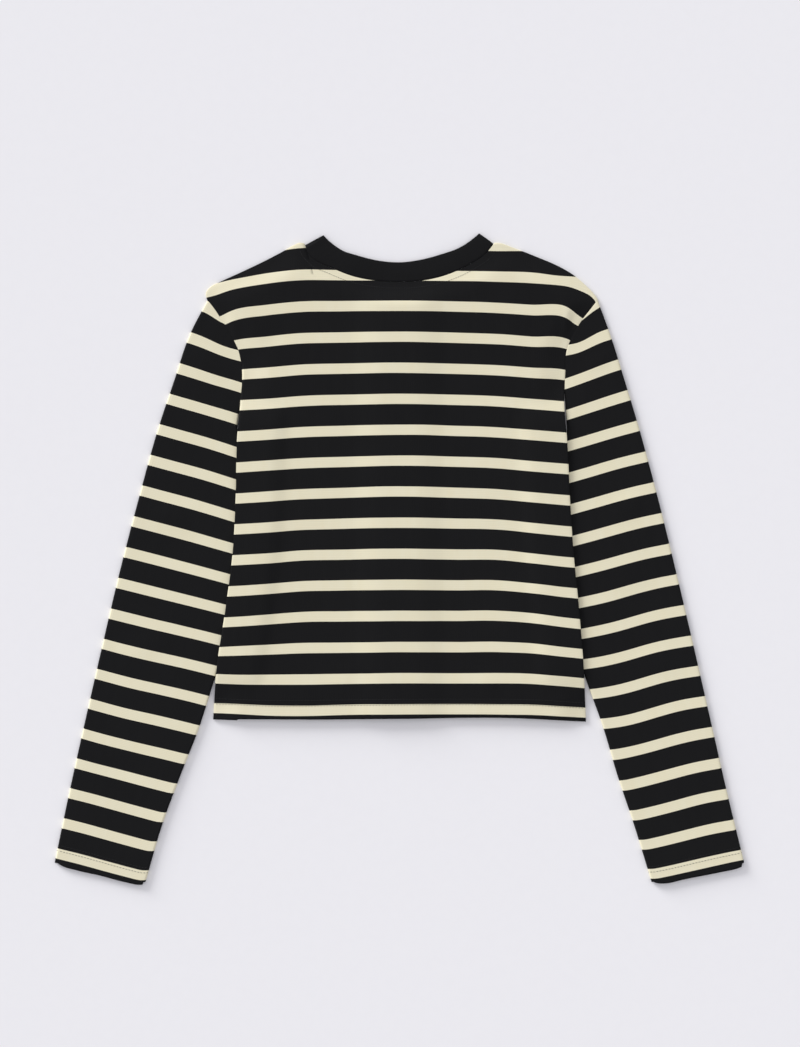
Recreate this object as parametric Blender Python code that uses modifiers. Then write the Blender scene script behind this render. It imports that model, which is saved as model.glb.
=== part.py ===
"""Striped jersey cardigan with a round neck, laid flat with its front on the floor.

World frame: metres, +Z up, floor at z = 0. +Y runs from the hem to the neck. The back faces up,
so -X is the wearer's left and +X the wearer's right. All sizes and tables below are millimetres.
Every cloth piece is an open grid between its seam lines, given its wall by a Solidify modifier.
"""

import math
from collections import namedtuple

import bmesh
import bpy
import numpy as np

MM = 0.001
WELD_DISTANCE = 0.00001  # metres
SHARP_ANGLE = math.radians(50.0)

# Cloth and clearances.
JERSEY_WALL = 1.2
BAND_WALL = 1.6  # neckband and button bands are folded double
SEAM_GAP = 0.3  # between pieces that are sewn together
CURVED_SEAM_GAP = 0.35  # the same gap along a curved seam, measured at the grid's points
LAYER_GAP = 0.8  # between cloths that only lie on each other

# Front fastening: right band under the left one, buttons nearest the floor.
BAND_WIDTH = 25.0
BUTTON_COUNT = 6
BUTTON_DIAMETER = 15.0
BUTTON_THICKNESS = 2.0
BUTTON_EDGE = 0.5
BUTTON_SIDES = 20
LOWEST_BUTTON = 22.0  # above the hem
HIGHEST_BUTTON = 32.0  # below the top of the bands
RIGHT_BAND_BOTTOM = BUTTON_THICKNESS + SEAM_GAP
LEFT_BAND_BOTTOM = RIGHT_BAND_BOTTOM + BAND_WALL + SEAM_GAP
BAND_TOP = 254.0
FRONT_SETBACK = 1.5  # the fronts' hem lies this far above the back's
CENTRE_FLAT = 16.0  # half-width over which the fronts stay at the bands' height
CENTRE_FOOT = 78.0  # from here out the fronts lie on the floor

# Flattened sleeves, tucked a little way under the body's folded sides.
SLEEVE_LOFT = 3.8
ARMHOLE_LOFT = 3.2
ARMHOLE_EASE = 70.0  # along the sleeve, from one loft to the other
TUCK_RISE = SLEEVE_LOFT + 0.5  # underside of the fronts over the tucked sleeve
TUCK_FLAT = 34.0
TUCK_FOOT = 72.0
TUCK_TOP_START, TUCK_TOP_FULL = 186.0, 138.0
TUCK_LOW_START, TUCK_LOW_FULL = -160.0, -112.0

# The back, which spans the hollows between what it lies on.
BRIDGE_HEIGHT = 4.4
EDGE_EASE = 30.0  # distance over which the back comes down to a closed edge
ARMHOLE_EDGE_GAP = ARMHOLE_LOFT - 2 * JERSEY_WALL
ARMHOLE_NEAR, ARMHOLE_FAR = 160.0, 130.0  # half-widths between which the armhole's gap closes
NECK_EDGE_GAP = 1.1
NECK_NEAR, NECK_FAR = 99.0, 130.0  # half-widths between which the neck's gap closes
NECK_GAP_LOW, NECK_GAP_HIGH = 250.0, 300.0  # and the heights
NECK_SIDE_MID = 2.9  # middle of the back neckband's wall above the floor, near its folds
NECK_CENTRE_MID = 2.0
NECK_SAG_INNER, NECK_SAG_OUTER = 15.0, 62.0  # half-widths between those two heights
NECK_FOLD_RADIUS = 0.5 * (NECK_SIDE_MID - 0.5 * BAND_WALL)
NECK_FOLD_REACH = NECK_FOLD_RADIUS + 0.5 * BAND_WALL + SEAM_GAP
NECK_EASE = 26.0
BLEND = 0.5  # softness of the change between carried and spanning cloth

# Grid cells.
SIDE_ROWS = 14
ARMHOLE_ROWS = 8
SHOULDER_COLUMNS = 6
BACK_NECK_COLUMNS = 12
FRONT_COLUMNS = 10
FRONT_NECK_ROWS = 7
SLEEVE_ROWS = 24
BAND_ROWS = 16
CURVE_STEPS = 12  # fine steps between two points of a table
FOLD_ANGLES = (60.0, 120.0)
NECK_FOLD_ANGLES = (0.0, 45.0, 90.0, 135.0, 180.0)

Point = namedtuple("Point", "x y")
SideRow = namedtuple("SideRow", "height left right")

# Body's edge from the hem up: folded side, then armhole seam from ARMHOLE_START to the shoulder.
ARMHOLE_START = 171.0
BODY_SIDES = (
    SideRow(-166.0, -193.8, 194.2),
    SideRow(-115.0, -190.2, 191.8),
    SideRow(-50.0, -180.6, 186.7),
    SideRow(10.0, -173.0, 180.9),
    SideRow(60.0, -170.3, 177.6),
    SideRow(125.0, -168.3, 174.4),
    SideRow(161.0, -164.6, 171.6),
    SideRow(198.0, -162.9, 172.9),
    SideRow(217.0, -167.0, 174.0),
    SideRow(231.0, -173.4, 179.2),
    SideRow(245.0, -181.4, 187.6),
    SideRow(259.0, -190.3, 196.6),
    SideRow(273.0, -201.0, 206.6),
)

# Hem of the back.
HEM = (
    Point(-193.8, -165.0),
    Point(-150.0, -165.8),
    Point(-100.0, -166.3),
    Point(0.0, -165.2),
    Point(125.0, -164.6),
    Point(170.0, -166.9),
    Point(194.2, -167.6),
)

# Shoulder edges, from the armhole to the neck.
LEFT_SHOULDER = (
    Point(-201.0, 273.0),
    Point(-191.7, 283.9),
    Point(-164.6, 299.5),
    Point(-138.6, 312.0),
    Point(-115.8, 323.0),
    Point(-98.6, 329.2),
)
RIGHT_SHOULDER = (
    Point(206.6, 273.0),
    Point(193.1, 287.0),
    Point(176.5, 298.5),
    Point(151.5, 309.0),
    Point(125.0, 319.5),
    Point(99.0, 330.1),
)

# Neck seam and free edge of the neckband: across the back, and down the hidden fronts.
BACK_NECK_SEAM = (
    Point(-98.6, 329.2),
    Point(-96.0, 321.4),
    Point(-89.0, 313.2),
    Point(-70.1, 303.8),
    Point(-49.8, 295.8),
    Point(-19.3, 290.2),
    Point(5.0, 289.4),
    Point(20.8, 290.5),
    Point(43.7, 295.0),
    Point(73.5, 307.8),
    Point(90.4, 319.4),
    Point(99.0, 330.1),
)
BACK_NECK_EDGE = (
    Point(-82.5, 335.9),
    Point(-61.7, 323.6),
    Point(-40.9, 315.6),
    Point(-20.1, 311.4),
    Point(0.7, 309.9),
    Point(21.5, 312.4),
    Point(42.3, 317.8),
    Point(63.1, 326.2),
    Point(83.9, 337.0),
)
FRONT_NECK_SEAM = (
    Point(98.8, 329.6),
    Point(97.0, 311.0),
    Point(89.0, 287.0),
    Point(72.0, 263.0),
    Point(46.0, 244.0),
    Point(12.8, 234.0),
)
FRONT_NECK_EDGE = (
    Point(83.2, 336.9),
    Point(79.0, 317.0),
    Point(70.0, 295.0),
    Point(55.0, 275.5),
    Point(35.0, 261.0),
    Point(12.8, 254.0),
)

# Sleeves: outer edge, inner edge (under the body until about -121) and cuff, left and right.
SLEEVE_OUTER = (
    SideRow(273.0, -201.0, 206.6),
    SideRow(237.0, -217.2, 218.1),
    SideRow(187.0, -234.3, 233.7),
    SideRow(137.0, -251.0, 248.8),
    SideRow(62.0, -271.8, 269.0),
    SideRow(-12.0, -291.0, 287.2),
    SideRow(-87.0, -308.7, 304.9),
    SideRow(-162.0, -325.8, 322.1),
    SideRow(-237.0, -342.5, 339.2),
    SideRow(-313.5, -358.4, 358.4),
)
SLEEVE_INNER = (
    SideRow(171.0, -163.4, 172.2),
    SideRow(150.0, -167.0, 173.4),
    SideRow(128.0, -168.4, 174.2),
    SideRow(100.0, -155.0, 162.6),
    SideRow(60.0, -145.4, 152.8),
    SideRow(5.0, -151.1, 158.8),
    SideRow(-45.0, -164.8, 171.8),
    SideRow(-95.0, -182.0, 185.2),
    SideRow(-122.0, -191.5, 193.6),
    SideRow(-175.0, -208.6, 212.4),
    SideRow(-225.0, -229.1, 228.5),
    SideRow(-275.0, -247.8, 244.1),
    SideRow(-334.0, -263.6, 260.2),
)
LEFT_CUFF = (
    Point(-358.4, -313.5),
    Point(-337.3, -322.3),
    Point(-306.0, -330.2),
    Point(-277.0, -337.8),
    Point(-263.6, -334.0),
)
RIGHT_CUFF = (
    Point(358.4, -313.5),
    Point(345.0, -321.9),
    Point(318.0, -328.0),
    Point(278.0, -336.6),
    Point(260.2, -334.0),
)


def clear_scene():
    """Remove what the scene starts with."""
    for thing in list(bpy.data.objects):
        bpy.data.objects.remove(thing, do_unlink=True)


def make_collection(name):
    """Add a collection to the scene and return it."""
    collection = bpy.data.collections.new(name)
    bpy.context.scene.collection.children.link(collection)
    return collection


def make_material(name, colour, roughness):
    """Make a plain, non-metallic material."""
    material = bpy.data.materials.new(name)
    material.use_nodes = True
    shader = material.node_tree.nodes["Principled BSDF"]
    shader.inputs["Base Color"].default_value = (*colour, 1.0)
    shader.inputs["Roughness"].default_value = roughness
    shader.inputs["Metallic"].default_value = 0.0
    return material


def ease(value, start, end):
    """Go softly from 0 at start to 1 at end."""
    share = np.clip((value - start) / (end - start), 0.0, 1.0)
    return share * share * (3.0 - 2.0 * share)


def soft_max(first, second):
    """The larger of two heights, never less than either, with a soft change between them."""
    return 0.5 * (first + second + np.sqrt((first - second) ** 2 + BLEND**2))


def arc_shares(points):
    """How far along the line each point lies, from 0 to 1."""
    lengths = np.hypot(*np.diff(points, axis=0).T)
    along = np.concatenate([[0.0], np.cumsum(lengths)])
    return along / along[-1]


def resample(points, cells):
    """Points at equal distances along a line."""
    shares = arc_shares(points)
    wanted = np.linspace(0.0, 1.0, cells + 1)
    return np.column_stack([np.interp(wanted, shares, points[:, axis]) for axis in (0, 1)])


def smooth_line(points):
    """A fine line through all the points, rounded between them."""
    points = np.array(points, float)
    spans = np.hypot(*np.diff(points, axis=0).T)
    slopes = np.diff(points, axis=0) / spans[:, None]
    tangents = np.empty_like(points)
    tangents[0], tangents[-1] = slopes[0], slopes[-1]
    before, after = spans[:-1, None], spans[1:, None]
    tangents[1:-1] = (slopes[:-1] * after + slopes[1:] * before) / (before + after)
    line = []
    for index, span in enumerate(spans):
        for share in np.linspace(0.0, 1.0, CURVE_STEPS, endpoint=False):
            square, cube = share**2, share**3
            line.append(
                (2 * cube - 3 * square + 1) * points[index]
                + (cube - 2 * square + share) * span * tangents[index]
                + (3 * square - 2 * cube) * points[index + 1]
                + (cube - square) * span * tangents[index + 1]
            )
    line.append(points[-1])
    return np.array(line)


def moved_aside(points, distance):
    """A line moved to its left-hand side by a distance."""
    forward = np.gradient(points, axis=0)
    forward /= np.hypot(*forward.T)[:, None]
    return points + distance * np.column_stack([-forward[:, 1], forward[:, 0]])


def coons(bottom, top, left, right):
    """Fill four edges with a grid of points: rows go from bottom to top, columns from left to right."""
    across = (0.5 * (arc_shares(bottom) + arc_shares(top)))[None, :, None]
    up = (0.5 * (arc_shares(left) + arc_shares(right)))[:, None, None]
    between_rows = (1 - up) * bottom[None] + up * top[None]
    between_columns = (1 - across) * left[:, None] + across * right[:, None]
    low = (1 - across) * bottom[0] + across * bottom[-1]
    high = (1 - across) * top[0] + across * top[-1]
    return between_rows + between_columns - ((1 - up) * low + up * high)


def side_line(side):
    """The body's edge from hem to shoulder as a fine line; side is "left" or "right"."""
    return smooth_line([(getattr(row, side), row.height) for row in BODY_SIDES])


SIDE_LINES = {side: side_line(side) for side in ("left", "right")}
SHOULDERS = {"left": smooth_line(LEFT_SHOULDER), "right": smooth_line(RIGHT_SHOULDER)}
NECK_LINE = smooth_line(BACK_NECK_SEAM)
HEM_LINE = smooth_line(HEM)


def body_edge(side):
    """The body's edge at the grid's rows: folded side below, armhole above."""
    line = SIDE_LINES[side]
    corner = np.array([np.interp(ARMHOLE_START, line[:, 1], line[:, 0]), ARMHOLE_START])
    lower = np.vstack([line[line[:, 1] < ARMHOLE_START - 0.01], corner])
    upper = np.vstack([corner, line[line[:, 1] > ARMHOLE_START + 0.01]])
    return np.vstack([resample(lower, SIDE_ROWS), resample(upper, ARMHOLE_ROWS)[1:]])


def depth_from_sides(x, y):
    """Distance of a point inside the nearer side of the body."""
    left, right = SIDE_LINES["left"], SIDE_LINES["right"]
    from_left = x - np.interp(y, left[:, 1], left[:, 0])
    from_right = np.interp(y, right[:, 1], right[:, 0]) - x
    return np.minimum(from_left, from_right)


def depth_from_shoulders(x, y):
    """Distance of a point below the shoulder edge, and far from it across the neck."""
    left, right = SHOULDERS["left"], SHOULDERS["right"][::-1]
    edge = np.where(
        x < 0.0,
        np.interp(x, left[:, 0], left[:, 1]),
        np.interp(x, right[:, 0], right[:, 1]),
    )
    past_neck = (x > left[-1, 0]) & (x < right[0, 0])
    return np.where(past_neck, EDGE_EASE, edge - y)


def depth_from_neck(x, y):
    """Distance of a point below the back's neck seam, and far from it under the shoulders."""
    inside = (x >= NECK_LINE[0, 0]) & (x <= NECK_LINE[-1, 0])
    return np.where(inside, np.interp(x, NECK_LINE[:, 0], NECK_LINE[:, 1]) - y, NECK_EASE)


def tuck_rise(x, y):
    """How far the tucked sleeves lift the body's sides."""
    near_side = ease(depth_from_sides(x, y), TUCK_FOOT, TUCK_FLAT)
    below_armhole = ease(y, TUCK_TOP_START, TUCK_TOP_FULL)
    above_hem = ease(y, TUCK_LOW_START, TUCK_LOW_FULL)
    return TUCK_RISE * near_side * below_armhole * above_hem


def centre_share(x):
    """1 along the buttoned centre, 0 where the fronts lie on the floor."""
    return ease(np.abs(x), CENTRE_FOOT, CENTRE_FLAT)


def front_underside(x, y, band_bottom):
    """Height of a front's underside; band_bottom is that of the button band it is sewn to."""
    beside_band = band_bottom + 0.5 * (BAND_WALL - JERSEY_WALL)
    return tuck_rise(x, y) + beside_band * centre_share(x)


def edge_gap(x, y):
    """Gap between back and front along the closed edges: wider at the armhole and the neck."""
    out = np.abs(x)
    armhole = ease(y, TUCK_TOP_FULL, ARMHOLE_START) * ease(out, ARMHOLE_FAR, ARMHOLE_NEAR)
    neck = ease(out, NECK_FAR, NECK_NEAR) * ease(y, NECK_GAP_LOW, NECK_GAP_HIGH)
    at_armhole = (ARMHOLE_EDGE_GAP - SEAM_GAP) * armhole
    at_neck = (NECK_EDGE_GAP - SEAM_GAP) * neck
    return SEAM_GAP + at_armhole + at_neck


def neck_middle(x):
    """Height of the middle of the wall along the back of the neck."""
    lift = NECK_SIDE_MID - NECK_CENTRE_MID
    return NECK_CENTRE_MID + lift * ease(np.abs(x), NECK_SAG_INNER, NECK_SAG_OUTER)


def back_underside(x, y):
    """Height of the back's underside over the fronts, the bands and the tucked sleeves."""
    front_top = front_underside(x, y, LEFT_BAND_BOTTOM) + JERSEY_WALL
    spanning = soft_max(front_top + LAYER_GAP, BRIDGE_HEIGHT)
    closed = front_top + edge_gap(x, y)
    depth = np.minimum(depth_from_sides(x, y), depth_from_shoulders(x, y))
    laid = closed + (spanning - closed) * ease(depth, 0.0, EDGE_EASE)
    at_neck = neck_middle(x) - 0.5 * JERSEY_WALL
    return at_neck + (laid - at_neck) * ease(depth_from_neck(x, y), 0.0, NECK_EASE)


def hem_height(x):
    """Where the back's hem lies at x."""
    return np.interp(x, HEM_LINE[:, 0], HEM_LINE[:, 1])


def hem_below(top, start_x, end_x, rise):
    """Hem points under the points of a top edge, between two places on the hem."""
    share = (top[:, 0] - top[0, 0]) / (top[-1, 0] - top[0, 0])
    x = start_x + share * (end_x - start_x)
    return np.column_stack([x, hem_height(x) + rise])


def grid_object(name, points, material, collection, weld=False):
    """Make an object from a grid of points (rows, columns, xyz in mm); weld joins ends that meet."""
    rows, columns = points.shape[:2]
    mesh = bpy.data.meshes.new(name)
    shape = bmesh.new()
    bmesh.ops.create_grid(shape, x_segments=columns - 1, y_segments=rows - 1, size=0.5)
    for vertex in shape.verts:
        column = round((vertex.co.x + 0.5) * (columns - 1))
        row = round((vertex.co.y + 0.5) * (rows - 1))
        vertex.co = points[row, column] * MM
    if weld:
        bmesh.ops.remove_doubles(shape, verts=shape.verts[:], dist=WELD_DISTANCE)
    shape.to_mesh(mesh)
    shape.free()
    mesh.shade_smooth()
    mesh.set_sharp_from_angle(angle=SHARP_ANGLE)
    mesh.materials.append(material)
    cloth = bpy.data.objects.new(name, mesh)
    collection.objects.link(cloth)
    return cloth


def sheet_object(name, points, wall, material, collection):
    """Make a sheet from a grid of points in the middle of its wall."""
    sheet = grid_object(name, points, material, collection)
    solidify = sheet.modifiers.new("Wall", "SOLIDIFY")
    solidify.thickness = wall * MM
    solidify.offset = 0.0


def laid_grid(flat, underside, wall):
    """Lift a flat grid of points to the middle of a wall lying at the given underside."""
    return np.dstack([flat, underside + 0.5 * wall])


def make_back(material, collection):
    """The back: shoulders and neck seam above, hem below, folded sides and armholes beside."""
    left_top = resample(SHOULDERS["left"], SHOULDER_COLUMNS)
    right_top = resample(SHOULDERS["right"], SHOULDER_COLUMNS)[::-1]
    neck = resample(NECK_LINE, BACK_NECK_COLUMNS)
    top = np.vstack([left_top, neck[1:-1], right_top])
    left, right = body_edge("left"), body_edge("right")
    hem = hem_below(top, left[0, 0], right[0, 0], 0.0)
    left[0], right[0] = hem[0], hem[-1]
    flat = coons(hem, top, left, right)
    underside = back_underside(flat[..., 0], flat[..., 1])
    points = laid_grid(flat, underside, JERSEY_WALL)
    sheet_object("back", points, JERSEY_WALL, material, collection)


def front_lines(side):
    """Neck seam and free edge of one front from the shoulder to the centre."""
    sign = -1.0 if side == "left" else 1.0
    seam = smooth_line([(sign * point.x, point.y) for point in FRONT_NECK_SEAM])
    edge = smooth_line([(sign * point.x, point.y) for point in FRONT_NECK_EDGE])
    return resample(seam, FRONT_NECK_ROWS), resample(edge, FRONT_NECK_ROWS)


def make_front(side, band_bottom, material, collection):
    """One front: shoulder above, hem below, side at one edge, band seam and neckline at the other."""
    neckline = front_lines(side)[0][::-1]
    shoulder = resample(SHOULDERS[side], FRONT_COLUMNS)
    outer = body_edge(side)
    hem = hem_below(shoulder, outer[0, 0], neckline[0, 0], FRONT_SETBACK)
    neckline[-1] = shoulder[-1]
    outer[0] = hem[0]
    centre_rows = len(outer) - len(neckline)
    centre = resample(np.array([hem[-1], neckline[0]]), centre_rows)
    flat = coons(hem, shoulder, outer, np.vstack([centre, neckline[1:]]))
    underside = front_underside(flat[..., 0], flat[..., 1], band_bottom)
    points = laid_grid(flat, underside, JERSEY_WALL)
    sheet_object(f"{side}_front", points, JERSEY_WALL, material, collection)


def make_button_band(side, bottom, material, collection):
    """One straight button band from the hem to the top of the neckband."""
    hem = hem_height(0.0) + FRONT_SETBACK
    x = np.linspace(-0.5 * BAND_WIDTH, 0.5 * BAND_WIDTH, 3)
    y = np.linspace(hem, BAND_TOP, BAND_ROWS + 1)
    flat = np.stack(np.meshgrid(x, y), axis=-1)
    points = laid_grid(flat, np.full(flat.shape[:2], bottom), BAND_WALL)
    sheet_object(f"{side}_button_band", points, BAND_WALL, material, collection)


def make_buttons(material, collection):
    """Plain round buttons under the right band, with rounded rims."""
    heights = np.linspace(hem_height(0.0) + LOWEST_BUTTON, BAND_TOP - HIGHEST_BUTTON, BUTTON_COUNT)
    for number, height in enumerate(heights, start=1):
        bpy.ops.mesh.primitive_cylinder_add(
            vertices=BUTTON_SIDES,
            radius=0.5 * BUTTON_DIAMETER * MM,
            depth=BUTTON_THICKNESS * MM,
            location=(0.0, height * MM, 0.5 * BUTTON_THICKNESS * MM),
        )
        button = bpy.context.object
        button.name = button.data.name = f"button_{number}"
        for holder in list(button.users_collection):
            holder.objects.unlink(button)
        collection.objects.link(button)
        button.data.materials.append(material)
        rim = button.modifiers.new("Rim", "BEVEL")
        rim.width = BUTTON_EDGE * MM
        rim.segments = 1


def toward(start, target, distance):
    """The point at a distance from start on the way to target."""
    step = target - start
    return start + step * (distance / np.hypot(*step))


def neck_stations(side, fold_seam, fold_edge):
    """Stations of the neckband from the centre front over the fold at one side of the neck.

    fold_seam and fold_edge are the fold's ends at the seam and the free edge. Each station is a
    pair of points (seam, free edge) in the middle of the wall.
    """
    sign = -1.0 if side == "left" else 1.0
    bottom = LEFT_BAND_BOTTOM if side == "left" else RIGHT_BAND_BOTTOM
    front_seam, front_edge = front_lines(side)
    front_seam = moved_aside(front_seam, -sign * CURVED_SEAM_GAP)
    front_seam[-1, 0] = front_edge[-1, 0] = sign * (0.5 * BAND_WIDTH + SEAM_GAP)
    stations = []
    for pair in list(zip(front_seam, front_edge))[:0:-1]:
        lows = [float(front_underside(x, y, bottom)) for x, y in pair]
        stations.append([(*point, low + 0.5 * BAND_WALL) for point, low in zip(pair, lows)])
    outward = np.array([fold_seam[1] - fold_edge[1], fold_edge[0] - fold_seam[0]])
    outward *= -sign / np.hypot(*outward)
    for angle in map(math.radians, NECK_FOLD_ANGLES):
        height = 0.5 * BAND_WALL + NECK_FOLD_RADIUS * (1.0 - math.cos(angle))
        swing = outward * NECK_FOLD_RADIUS * math.sin(angle)
        stations.append([(*(point + swing), height) for point in (fold_seam, fold_edge)])
    return stations


def make_neckband(material, collection):
    """The neckband: one strip, folded at its two peaks, with its ends at the button bands."""
    seam = moved_aside(resample(NECK_LINE, BACK_NECK_COLUMNS), CURVED_SEAM_GAP)
    edge = resample(smooth_line(BACK_NECK_EDGE), BACK_NECK_COLUMNS)
    for line in (seam, edge):
        line[0] = toward(line[0], line[1], NECK_FOLD_REACH)
        line[-1] = toward(line[-1], line[-2], NECK_FOLD_REACH)
    left = neck_stations("left", seam[0], edge[0])
    right = neck_stations("right", seam[-1], edge[-1])
    heights = neck_middle(seam[:, 0])
    back = [[(*low, z), (*high, z)] for low, high, z in zip(seam, edge, heights)]
    stations = np.array(left + back[1:-1] + right[::-1])
    middle = stations.mean(axis=1, keepdims=True)
    points = np.concatenate([stations[:, :1], middle, stations[:, 1:]], axis=1)
    sheet_object("neckband", points, BAND_WALL, material, collection)


def sleeve_patch(side):
    """Flat part of a sleeve between its folds, and the directions in which the folds bulge.

    Rows go from the armhole to the cuff, columns from the outer to the inner edge.
    """
    turn = 1.0 if side == "left" else -1.0
    radius = 0.5 * SLEEVE_LOFT
    outer = smooth_line([(getattr(row, side), row.height) for row in SLEEVE_OUTER])
    inner = smooth_line([(getattr(row, side), row.height) for row in SLEEVE_INNER])
    outer, inner = resample(outer, SLEEVE_ROWS), resample(inner, SLEEVE_ROWS)
    outer_flat = moved_aside(outer, turn * radius)
    inner_flat = moved_aside(inner, -turn * radius)
    armhole = body_edge(side)[SIDE_ROWS:][::-1]
    armhole = moved_aside(armhole, -turn * CURVED_SEAM_GAP)
    outer[0] = armhole[0]
    outer_flat[0] = armhole[0] = toward(armhole[0], armhole[1], radius)
    armhole[-1] = inner_flat[0]
    cuff = resample(smooth_line(LEFT_CUFF if side == "left" else RIGHT_CUFF), ARMHOLE_ROWS)
    cuff[0], cuff[-1] = outer_flat[-1], inner_flat[-1]
    flat = coons(armhole, cuff, outer_flat, inner_flat)
    outward = (outer - outer_flat) / radius
    inward = (inner - inner_flat) / radius
    return flat, outward, inward


def sleeve_ring(row, out, into, loft, inset):
    """One ring round the flattened sleeve, at an inset from its outer surface."""
    radius = 0.5 * loft - inset
    ring = [(*point, loft - inset) for point in row]
    for angle in map(math.radians, FOLD_ANGLES):
        place = row[-1] + into * radius * math.sin(angle)
        ring.append((*place, 0.5 * loft + radius * math.cos(angle)))
    ring += [(*point, inset) for point in row[::-1]]
    for angle in map(math.radians, FOLD_ANGLES):
        place = row[0] + out * radius * math.sin(angle)
        ring.append((*place, 0.5 * loft - radius * math.cos(angle)))
    return [*ring, ring[0]]


def make_sleeve(side, material, collection):
    """A flattened tube from the armhole to the cuff, with a flat underside and rounded folds."""
    flat, outward, inward = sleeve_patch(side)
    walked = np.hypot(*np.diff(flat.mean(axis=1), axis=0).T)
    along = np.concatenate([[0.0], np.cumsum(walked)])
    lofts = ARMHOLE_LOFT + (SLEEVE_LOFT - ARMHOLE_LOFT) * ease(along, 0.0, ARMHOLE_EASE)
    sections = list(zip(flat, outward, inward, lofts))
    outside = [sleeve_ring(*section, 0.0) for section in sections]
    inside = [sleeve_ring(*section, JERSEY_WALL) for section in sections[::-1]]
    rings = np.array([*outside, *inside, outside[0]])
    if side == "left":
        rings = rings[::-1]
    grid_object(f"{side}_sleeve", rings, material, collection, weld=True)


def main():
    """Build the cardigan."""
    clear_scene()
    garment = make_collection("cardigan")
    striped = make_material("striped_jersey", (0.16, 0.14, 0.10), 0.9)
    black = make_material("black_jersey_band", (0.012, 0.012, 0.012), 0.9)
    plastic = make_material("button_plastic", (0.015, 0.015, 0.015), 0.35)
    make_back(striped, garment)
    make_front("left", LEFT_BAND_BOTTOM, striped, garment)
    make_front("right", RIGHT_BAND_BOTTOM, striped, garment)
    make_sleeve("left", striped, garment)
    make_sleeve("right", striped, garment)
    make_neckband(black, garment)
    make_button_band("left", LEFT_BAND_BOTTOM, black, garment)
    make_button_band("right", RIGHT_BAND_BOTTOM, black, garment)
    make_buttons(plastic, garment)


main()
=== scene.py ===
"""Looks of a striped jersey cardigan that lies flat with its back up.

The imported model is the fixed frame: +X is the wearer's right, +Y runs from the hem to the neck and
+Z points out of the back. Sizes, places and tables are millimetres; MM turns them into metres.
"""

from __future__ import annotations

import logging
import math
from dataclasses import dataclass, field
from enum import Enum
from functools import partial
from typing import NamedTuple, Sequence

import bmesh
import bpy
import numpy as np
from mathutils import Matrix, Vector


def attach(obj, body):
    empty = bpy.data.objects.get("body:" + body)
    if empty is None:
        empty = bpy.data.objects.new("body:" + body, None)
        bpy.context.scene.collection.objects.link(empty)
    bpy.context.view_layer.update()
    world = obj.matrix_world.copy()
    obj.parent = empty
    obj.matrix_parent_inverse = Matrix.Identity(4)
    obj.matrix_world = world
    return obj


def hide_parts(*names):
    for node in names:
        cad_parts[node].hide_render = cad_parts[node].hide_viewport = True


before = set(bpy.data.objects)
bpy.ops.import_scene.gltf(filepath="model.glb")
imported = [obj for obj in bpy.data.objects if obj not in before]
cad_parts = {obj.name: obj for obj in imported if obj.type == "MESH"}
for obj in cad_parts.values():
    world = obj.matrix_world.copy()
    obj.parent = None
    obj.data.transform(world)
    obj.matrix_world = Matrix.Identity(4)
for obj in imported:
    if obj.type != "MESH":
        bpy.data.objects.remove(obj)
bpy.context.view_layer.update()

MM = 0.001
WELD = 1e-6  # metres
BODY = "root"
KNIT_MAP = "knit"  # UV map: across and along the knit, both in stripe pitches
STRIPE_PITCH = 32.26
CREAM_SHARE = 0.331  # of the pitch
ARMHOLE_START = 171.0
NEEDLE_GAP = 5.8  # between the two rows of a hem's twin-needle seam
NECKBAND_WIDTH = 20.5
SEWN_GAP = 0.12  # between the edges of two pieces that are sewn together
JERSEY_RIM = 0.6  # how far in an edge of single jersey is rounded
BAND_RIM = 0.8  # the same on a folded band
RIM_ANGLES = np.radians([0.0, 30.0, 60.0])
COARSE = 4  # steps between two points of a line that only distances are taken from

Array = np.ndarray
Pair = tuple[float, float]  # a place in plan, or two values that belong together
Rows = Sequence[Sequence[float]]
log = logging.getLogger("cardigan")


class Side(Enum):
    """The wearer's two sides; the value is the sign of x."""

    LEFT = -1.0
    RIGHT = 1.0

    @property
    def word(self) -> str:
        """The side as it stands in names."""
        return self.name.lower()

    def mirrored(self, places: Rows) -> Array:
        """A smooth line through places that are given for the right side."""
        return smooth_line([(self.value * x, y) for x, y in places])

    def edge(self, rows: Rows) -> Array:
        """The side's edge in plan, from a table of heights with their left and right places."""
        column = 1 if self is Side.LEFT else 2
        return smooth_line([(row[column], row[0]) for row in rows])

    def edge_out(self, rows: Rows, height: Array) -> Array:
        """How far out from the middle the side's edge lies at heights in plan.

        Args:
            rows: heights, each with its left and right place.
            height: the heights in plan.

        Returns:
            The distances from the middle.
        """
        x, y = self.edge(rows).T
        order = np.argsort(y)
        return np.interp(height, y[order], np.abs(x[order]))


class Slot(Enum):
    """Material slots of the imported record."""

    STRIPED = "striped_jersey"
    BAND = "black_jersey_band"
    BUTTON = "button_plastic"


class Ends(Enum):
    """Which ends of a row of grid lines are round edges of the cloth."""

    BOTH = (True, True)
    FIRST = (True, False)
    LAST = (False, True)


class Crease(NamedTuple):
    """A soft ridge, or with a negative height a trough, from one place to another."""

    start: Pair
    end: Pair
    width: float
    height: float


# The body's two sides: height, left place, right place.
BODY_SIDES = (
    (-166.0, -193.8, 194.2), (-115.0, -190.2, 191.8), (-50.0, -180.6, 186.7), (10.0, -173.0, 180.9),
    (60.0, -170.3, 177.6), (125.0, -168.3, 174.4), (161.0, -164.6, 171.6), (198.0, -162.9, 172.9),
    (217.0, -167.0, 174.0), (231.0, -173.4, 179.2), (245.0, -181.6, 187.3), (252.0, -186.4, 192.2),
    (259.0, -191.0, 197.9), (270.5, -199.9, 206.8),
)
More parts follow.
